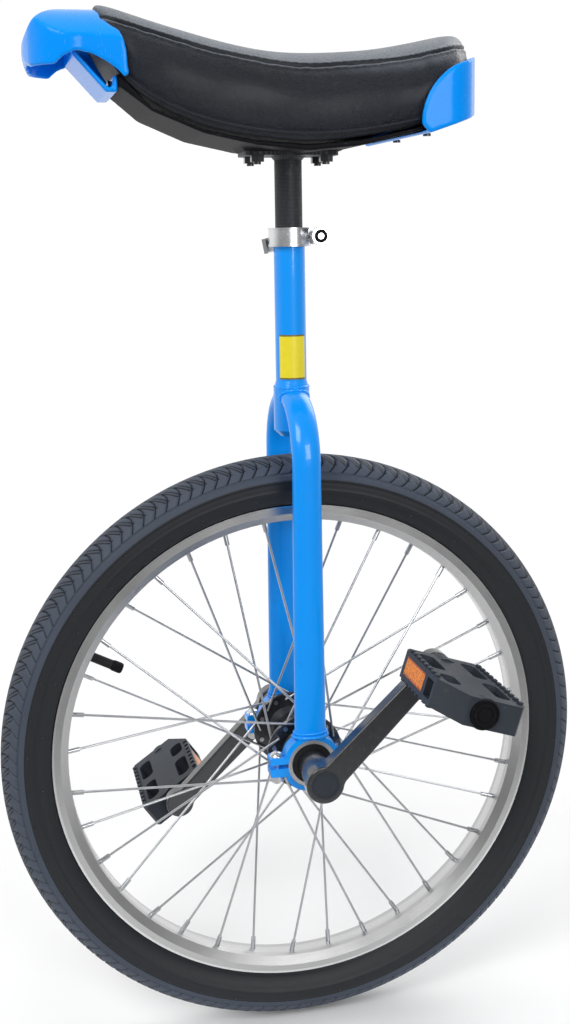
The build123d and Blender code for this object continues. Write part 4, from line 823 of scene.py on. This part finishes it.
def make_reflector():
    """Amber reflector: small cube-corner cells behind a clear face, each with a painted glint, and one half
    painted brighter.
    """
    amber = (0.85, 0.24, 0.02)
    f = Finish("reflector_amber", amber, 0.3, coat_weight=0.15, coat_roughness=0.03, specular_ior_level=0.15)
    _, y, z = f.parts_of(f.place())
    cells = f.cells(620.0, "F1")
    glint = f.rise(cells, 0.15, 0.65)
    half = f.rise((z * 260.0 + y * 90.0).math("SINE"), -0.15, 0.15)
    # low and high are the darker and lighter colours of the painted glint; half paints one half brighter.
    low = f.tint(glint, (0.20, 0.035, 0.0), (0.55, 0.11, 0.0))
    high = f.tint(glint, (0.55, 0.11, 0.0), (0.95, 0.27, 0.0))
    f.link(base_color=f.node("Mix", {"data_type": "RGBA"}, {0: half, 6: low, 7: high}, output=2))
    f.link(roughness=0.26 + glint * 0.12)
    return f.bump(cells, 0.0004, 0.7).material


def make_label():
    """A plain yellow film label with a thin darker border and no lettering."""
    yellow = (0.86, 0.72, 0.02)
    f = Finish("label_film", yellow, 0.32, coat_weight=0.5, coat_roughness=0.1)
    low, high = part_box("frame_label")
    _, _, z = f.parts_of(f.place())
    half = (high[2] - low[2]) / 2
    end = f.rise(abs(z - (low[2] + high[2]) / 2), half - 1.6 * MM, half - 1.2 * MM)
    wrinkle = f.noise(120.0, 3.0)
    base = f.tint(wrinkle, shade(yellow, 0.92), shade(yellow, 1.06))
    f.link(base_color=f.over(end * 0.85, base, (0.05, 0.045, 0.02)), roughness=0.26 + wrinkle * 0.15)
    return f.bump(wrinkle, 0.00008, 0.5).material


MADE = {}
FINISH_OF = {
    "frame_paint": "fork_frame bearing_cap_left bearing_cap_right",
    "blue_plastic": "front_handle rear_bumper",
    "label_film": "frame_label",
    "bright_steel": "cap_bolts cap_nuts clamp_skewer lever_pin cam_washer crank_bolts spindle",
    "ground_steel": "bearing_outer_left bearing_outer_right bearing_inner_left bearing_inner_right"
                    " bearing_balls_left bearing_balls_right",
    "spoke_steel": "spokes_left spokes_right nipples",
    "black_rubber": "bearing_seals_left bearing_seals_right inner_tube rim_tape valve_stem",
    "clamp_alloy": "seat_clamp clamp_nut clamp_lever",
    "moulded_black": "clamp_nut_insert saddle_base pedal_end_cap_left pedal_end_cap_right pedal_bushes_left"
                     " pedal_bushes_right valve_cap",
    "dust_cap_plastic": "dust_cap_left dust_cap_right",
    "pedal_plastic": "pedal_body_left pedal_body_right",
    "post_black": "seat_post",
    "black_enamel": "hub_shell spacer_left spacer_right crank_left crank_right seat_nuts seat_studs"
                    " handle_screws bumper_screws pedal_axle_nuts pedal_axle_left pedal_axle_right",
    "saddle_leather": "saddle_cover",
    "saddle_foam": "saddle_foam",
    "tyre_rubber_plain": "tyre",
    "rim_alloy": "rim",
    "reflector_amber": "pedal_reflectors_left pedal_reflectors_right",
}


def make_finishes(colours):
    """Makes every material once, by name."""
    blue = tuple(colours.frame_blue)
    leather = tuple(colours.saddle_black)
    # crown is the colour of the painted reflection on the saddle's upward faces.
    crown = tuple(colours.saddle_crown_reflection)
    MADE["frame_paint"] = make_paint("frame_paint", blue)
    MADE["blue_plastic"] = make_blue_plastic(tuple(colours.plastic_blue))
    MADE["label_film"] = make_label()
    MADE["bright_steel"] = make_metal("bright_steel", (0.72, 0.73, 0.75), 0.14)
    MADE["ground_steel"] = make_metal("ground_steel", (0.58, 0.58, 0.60), 0.34, (1.0, 0.1, 0.1))
    MADE["spoke_steel"] = make_metal("spoke_steel", (0.50, 0.51, 0.53), 0.22, dirt=0.2)
    MADE["clamp_alloy"] = make_metal("clamp_alloy", (0.74, 0.75, 0.77), 0.18, (0.3, 0.3, 4.0), 0.2)
    MADE["black_rubber"] = make_moulded("black_rubber", (0.018, 0.018, 0.02), 0.6, 500.0)
    MADE["moulded_black"] = make_moulded("moulded_black", (0.004, 0.004, 0.006), 0.6)
    MADE["dust_cap_plastic"] = make_moulded("dust_cap_plastic", (0.03, 0.036, 0.045), 0.36)
    MADE["pedal_plastic"] = make_moulded("pedal_plastic", (0.035, 0.041, 0.052), 0.40, 700.0)
    MADE["post_black"] = make_post()
    MADE["black_enamel"] = make_black_enamel()
    MADE["saddle_leather"] = make_leather("saddle_leather", leather, crown, 780.0, 0.36)
    piping = shade(leather, 1.3)
    # shade(leather, 2.0) is the colour of the painted reflection on the piping's upward faces.
    MADE["saddle_piping"] = make_leather("saddle_piping", piping, shade(leather, 2.0), 1300.0, 0.34)
    MADE["saddle_thread"] = make_thread(shade(leather, 0.5))
    MADE["saddle_foam"] = make_moulded("saddle_foam", (0.62, 0.58, 0.44), 0.85, 350.0)
    MADE["tyre_rubber"] = make_tyre("tyre_rubber", tuple(colours.tyre_grey), True)
    MADE["tyre_rubber_plain"] = make_tyre("tyre_rubber_plain", tuple(colours.tyre_grey), False)
    MADE["rim_alloy"] = make_rim((0.52, 0.52, 0.52))
    MADE["reflector_amber"] = make_reflector()


def dress_nodes():
    """Gives each CAD node its finish."""
    dressed = set()
    for finish, names in FINISH_OF.items():
        for name in names.split():
            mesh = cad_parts[name].data
            mesh.materials.clear()
            mesh.materials.append(MADE[finish])
            dressed.add(name)
    bare = sorted(set(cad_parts) - dressed)
    if bare:
        raise RuntimeError(f"no finish for {bare}")


# ---------------------------------------------------------------- stage
def build_stage(stage):
    """A pale floor, daylight that is stronger on the far side, three large lamps and the camera."""
    scene = bpy.context.scene
    scene.view_settings.view_transform = "Standard"
    turn = 2 * math.pi * np.arange(64) / 64
    rings = np.array([0.001, 0.3, 0.6, 0.9])
    points = np.stack([
        rings[:, None] * np.cos(turn),
        rings[:, None] * np.sin(turn),
        np.full((len(rings), len(turn)), -0.0002),
    ], axis=-1)
    mesh = bpy.data.meshes.new("floor")
    faces = grid_faces(len(rings), len(turn), False, True)[:, ::-1]
    mesh.from_pydata(points.reshape(-1, 3).tolist(), [], faces.tolist())
    floor = bpy.data.objects.new("floor", mesh)
    scene.collection.objects.link(floor)
    pale = Finish("floor_pale", (0.90, 0.90, 0.90), 0.7)
    pale.link(base_color=pale.tint(pale.noise(3.0), (0.89, 0.89, 0.89), (0.92, 0.92, 0.92)))
    across, along, _ = pale.parts_of(pale.place())
    reach = (across * across + along * along).math("SQRT")
    pale.link(alpha=1.0 - pale.rise(reach, 0.25, 0.85))
    mesh.materials.append(pale.material)

    world = bpy.data.worlds.new("studio")
    world.use_nodes = True
    tree = world.node_tree
    direction = tree.nodes.new("ShaderNodeTexCoord")
    parts = tree.nodes.new("ShaderNodeSeparateXYZ")
    fall = tree.nodes.new("ShaderNodeMapRange")
    fall.inputs["From Min"].default_value = -0.35
    fall.inputs["From Max"].default_value = 0.45
    fall.inputs["To Min"].default_value = stage.daylight
    fall.inputs["To Max"].default_value = stage.shade
    tree.links.new(direction.outputs["Generated"], parts.inputs[0])
    tree.links.new(parts.outputs["X"], fall.inputs["Value"])
    tree.links.new(fall.outputs[0], tree.nodes["Background"].inputs["Strength"])
    tree.nodes["Background"].inputs["Color"].default_value = (1.0, 1.0, 1.0, 1.0)
    scene.world = world
    for name, place, size, power in (
        ("key_lamp", (1.6, -1.5, 2.3), 1.3, stage.key_power),
        ("back_lamp", (-1.2, 1.6, 1.9), 1.4, stage.key_power * 0.45),
        ("side_lamp", (2.3, 0.55, 1.05), 1.0, stage.key_power * 0.6),
    ):
        lamp = bpy.data.lights.new(name, "AREA")
        lamp.energy = power
        lamp.size = size
        holder = bpy.data.objects.new(name, lamp)
        holder.location = place
        aim = np.array([0.0, 0.0, 0.45]) - np.array(place)
        holder.rotation_euler = direction_turn(aim)
        scene.collection.objects.link(holder)

    azimuth = math.radians(stage.azimuth)
    elevation = math.radians(stage.elevation)
    roll = math.radians(stage.roll)
    back = np.array([
        math.sin(azimuth) * math.cos(elevation),
        -math.cos(azimuth) * math.cos(elevation),
        math.sin(elevation),
    ])
    right = np.array([math.cos(azimuth), math.sin(azimuth), 0.0])
    up = np.cross(back, right)
    right, up = (
        math.cos(roll) * right + math.sin(roll) * up,
        math.cos(roll) * up - math.sin(roll) * right,
    )
    target = np.array([0.0, 0.0, 0.5])
    place = target + back * stage.distance + right * 11.9 * MM + up * 9.8 * MM
    camera = bpy.data.cameras.new("camera")
    camera.lens = stage.lens
    camera.sensor_width = 36.0
    camera.sensor_fit = "AUTO"
    camera.shift_x = stage.shift_across
    camera.shift_y = stage.shift_up
    camera.clip_start = 0.01
    holder = bpy.data.objects.new("camera", camera)
    matrix = np.eye(4)
    matrix[:3, 0], matrix[:3, 1], matrix[:3, 2], matrix[:3, 3] = right, up, back, place
    holder.matrix_world = Matrix(matrix.tolist())
    scene.collection.objects.link(holder)
    scene.camera = holder


def direction_turn(aim):
    """Turns of a lamp, which shines along its own -Z, so that it shines along aim."""
    aim = aim / np.linalg.norm(aim)
    tilt = math.acos(-aim[2])
    spin = math.atan2(aim[1], aim[0]) - math.pi / 2
    return (tilt, 0.0, spin)


# ---------------------------------------------------------------- add-on
class UnicycleShape(bpy.types.PropertyGroup):
    """Sizes of the built pieces."""

    tread_blocks: bpy.props.IntProperty(
        name="Tread blocks", description="Blocks round the tread", default=138, min=60, max=220
    )
    tread_depth: bpy.props.FloatProperty(
        name="Groove depth", description="Depth of the tread grooves", default=1.8 * MM, unit="LENGTH"
    )
    hair_length: bpy.props.FloatProperty(
        name="Hair length", description="Length of the moulding hairs", default=3.4 * MM, unit="LENGTH"
    )
    seam_depth: bpy.props.FloatProperty(
        name="Seam depth", description="Depth of the saddle's seams", default=2.2 * MM, unit="LENGTH"
    )
    stitch_pitch: bpy.props.FloatProperty(
        name="Stitch pitch", description="Distance between stitches", default=4.6 * MM, unit="LENGTH"
    )
    weld_size: bpy.props.FloatProperty(
        name="Weld size", description="Radius of the weld beads", default=1.5 * MM, unit="LENGTH"
    )
    cap_ribs: bpy.props.IntProperty(
        name="Cap ribs", description="Ribs round the valve cap", default=16, min=6, max=30
    )


class UnicycleColours(bpy.types.PropertyGroup):
    """Colours of the finishes."""

    frame_blue: bpy.props.FloatVectorProperty(
        name="Frame", description="Paint of the fork", default=(0.0, 0.31, 1.0), subtype="COLOR"
    )
    plastic_blue: bpy.props.FloatVectorProperty(
        name="Handle", description="Handle and bumper plastic",
        default=(0.0, 0.29, 1.0), subtype="COLOR",
    )
    saddle_black: bpy.props.FloatVectorProperty(
        name="Saddle", description="Sides of the saddle cover",
        default=(0.010, 0.016, 0.030), subtype="COLOR",
    )
    # The colour of the painted reflection that makes the saddle cover's upward faces paler.
    saddle_crown_reflection: bpy.props.FloatVectorProperty(
        name="Saddle crown", description="Top of the saddle cover",
        default=(0.30, 0.35, 0.42), subtype="COLOR",
    )
    tyre_grey: bpy.props.FloatVectorProperty(
        name="Tyre", description="Tyre rubber", default=(0.054, 0.067, 0.094), subtype="COLOR"
    )


class UnicycleStage(bpy.types.PropertyGroup):
    """Light and camera."""

    daylight: bpy.props.FloatProperty(
        name="Daylight", description="Strength of the light on the far side", default=1.02
    )
    shade: bpy.props.FloatProperty(
        name="Shade", description="Strength of the light on the near side", default=0.28
    )
    key_power: bpy.props.FloatProperty(
        name="Key lamp", description="Power of the main lamp", default=38.0, unit="POWER"
    )
    azimuth: bpy.props.FloatProperty(
        name="Azimuth", description="Camera's turn about the object, in degrees", default=76.61
    )
    elevation: bpy.props.FloatProperty(
        name="Elevation", description="Camera's height angle, in degrees", default=9.13
    )
    roll: bpy.props.FloatProperty(name="Roll", description="Camera's roll, in degrees", default=-0.8)
    distance: bpy.props.FloatProperty(
        name="Distance", description="Camera's distance", default=1.1003, unit="LENGTH"
    )
    lens: bpy.props.FloatProperty(name="Lens", description="Focal length in millimetres", default=46.48)
    shift_across: bpy.props.FloatProperty(
        name="Shift across", description="Sideways shift of the frame", default=-0.0212
    )
    shift_up: bpy.props.FloatProperty(
        name="Shift up", description="Upward shift of the frame", default=-0.0706
    )


class UNICYCLE_OT_finishes(bpy.types.Operator):
    """Makes the materials and gives each CAD node its own"""

    bl_idname = "unicycle.finishes"
    bl_label = "Finishes"

    def execute(self, context):
        make_finishes(context.scene.unicycle_colours)
        dress_nodes()
        return {"FINISHED"}


class UNICYCLE_OT_saddle(bpy.types.Operator):
    """Builds the saddle pad, its stitching and its piping"""

    bl_idname = "unicycle.saddle"
    bl_label = "Saddle"

    def execute(self, context):
        build_saddle(context.scene.unicycle_shape)
        build_moulding("saddle_base", "saddle_pan", "moulded_black")
        build_moulding("front_handle", "grab_handle", "blue_plastic")
        build_moulding("rear_bumper", "tail_bumper", "blue_plastic")
        return {"FINISHED"}


class UNICYCLE_OT_tyre(bpy.types.Operator):
    """Builds the tyre with its tread and moulding hairs"""

    bl_idname = "unicycle.tyre"
    bl_label = "Tyre"

    def execute(self, context):
        build_tyre(context.scene.unicycle_shape)
        return {"FINISHED"}


class UNICYCLE_OT_frame_details(bpy.types.Operator):
    """Builds the frame's weld beads and the ribbed valve cap"""

    bl_idname = "unicycle.frame_details"
    bl_label = "Welds and valve cap"

    def execute(self, context):
        build_welds(context.scene.unicycle_shape)
        build_valve_cap(context.scene.unicycle_shape)
        return {"FINISHED"}


class UNICYCLE_OT_stage(bpy.types.Operator):
    """Builds the floor, the light and the camera"""

    bl_idname = "unicycle.stage"
    bl_label = "Stage"

    def execute(self, context):
        build_stage(context.scene.unicycle_stage)
        return {"FINISHED"}


OPERATORS = [
    UNICYCLE_OT_finishes,
    UNICYCLE_OT_saddle,
    UNICYCLE_OT_tyre,
    UNICYCLE_OT_frame_details,
    UNICYCLE_OT_stage,
]


class UNICYCLE_PT_panel(bpy.types.Panel):
    """Lists the unicycle's pieces"""

    bl_label = "Unicycle"
    bl_idname = "UNICYCLE_PT_panel"
    bl_space_type = "VIEW_3D"
    bl_region_type = "UI"
    bl_category = "Unicycle"

    def draw(self, context):
        for operator in OPERATORS:
            self.layout.operator(operator.bl_idname)
        for group_name in GROUPS:
            group = getattr(context.scene, group_name)
            for name in group.__annotations__:
                self.layout.prop(group, name)


GROUPS = {
    "unicycle_shape": UnicycleShape,
    "unicycle_colours": UnicycleColours,
    "unicycle_stage": UnicycleStage,
}


def register():
    for name, group in GROUPS.items():
        bpy.utils.register_class(group)
        setattr(bpy.types.Scene, name, bpy.props.PointerProperty(type=group))
    for operator in OPERATORS:
        bpy.utils.register_class(operator)
    bpy.utils.register_class(UNICYCLE_PT_panel)


def unregister():
    bpy.utils.unregister_class(UNICYCLE_PT_panel)
    for operator in reversed(OPERATORS):
        bpy.utils.unregister_class(operator)
    for name, group in GROUPS.items():
        delattr(bpy.types.Scene, name)
        bpy.utils.unregister_class(group)


def main():
    """Builds the unicycle in order."""
    register()
    bpy.ops.unicycle.finishes()
    bpy.ops.unicycle.saddle()
    bpy.ops.unicycle.tyre()
    bpy.ops.unicycle.frame_details()
    bpy.ops.unicycle.stage()


if __name__ == "__main__":
    main()
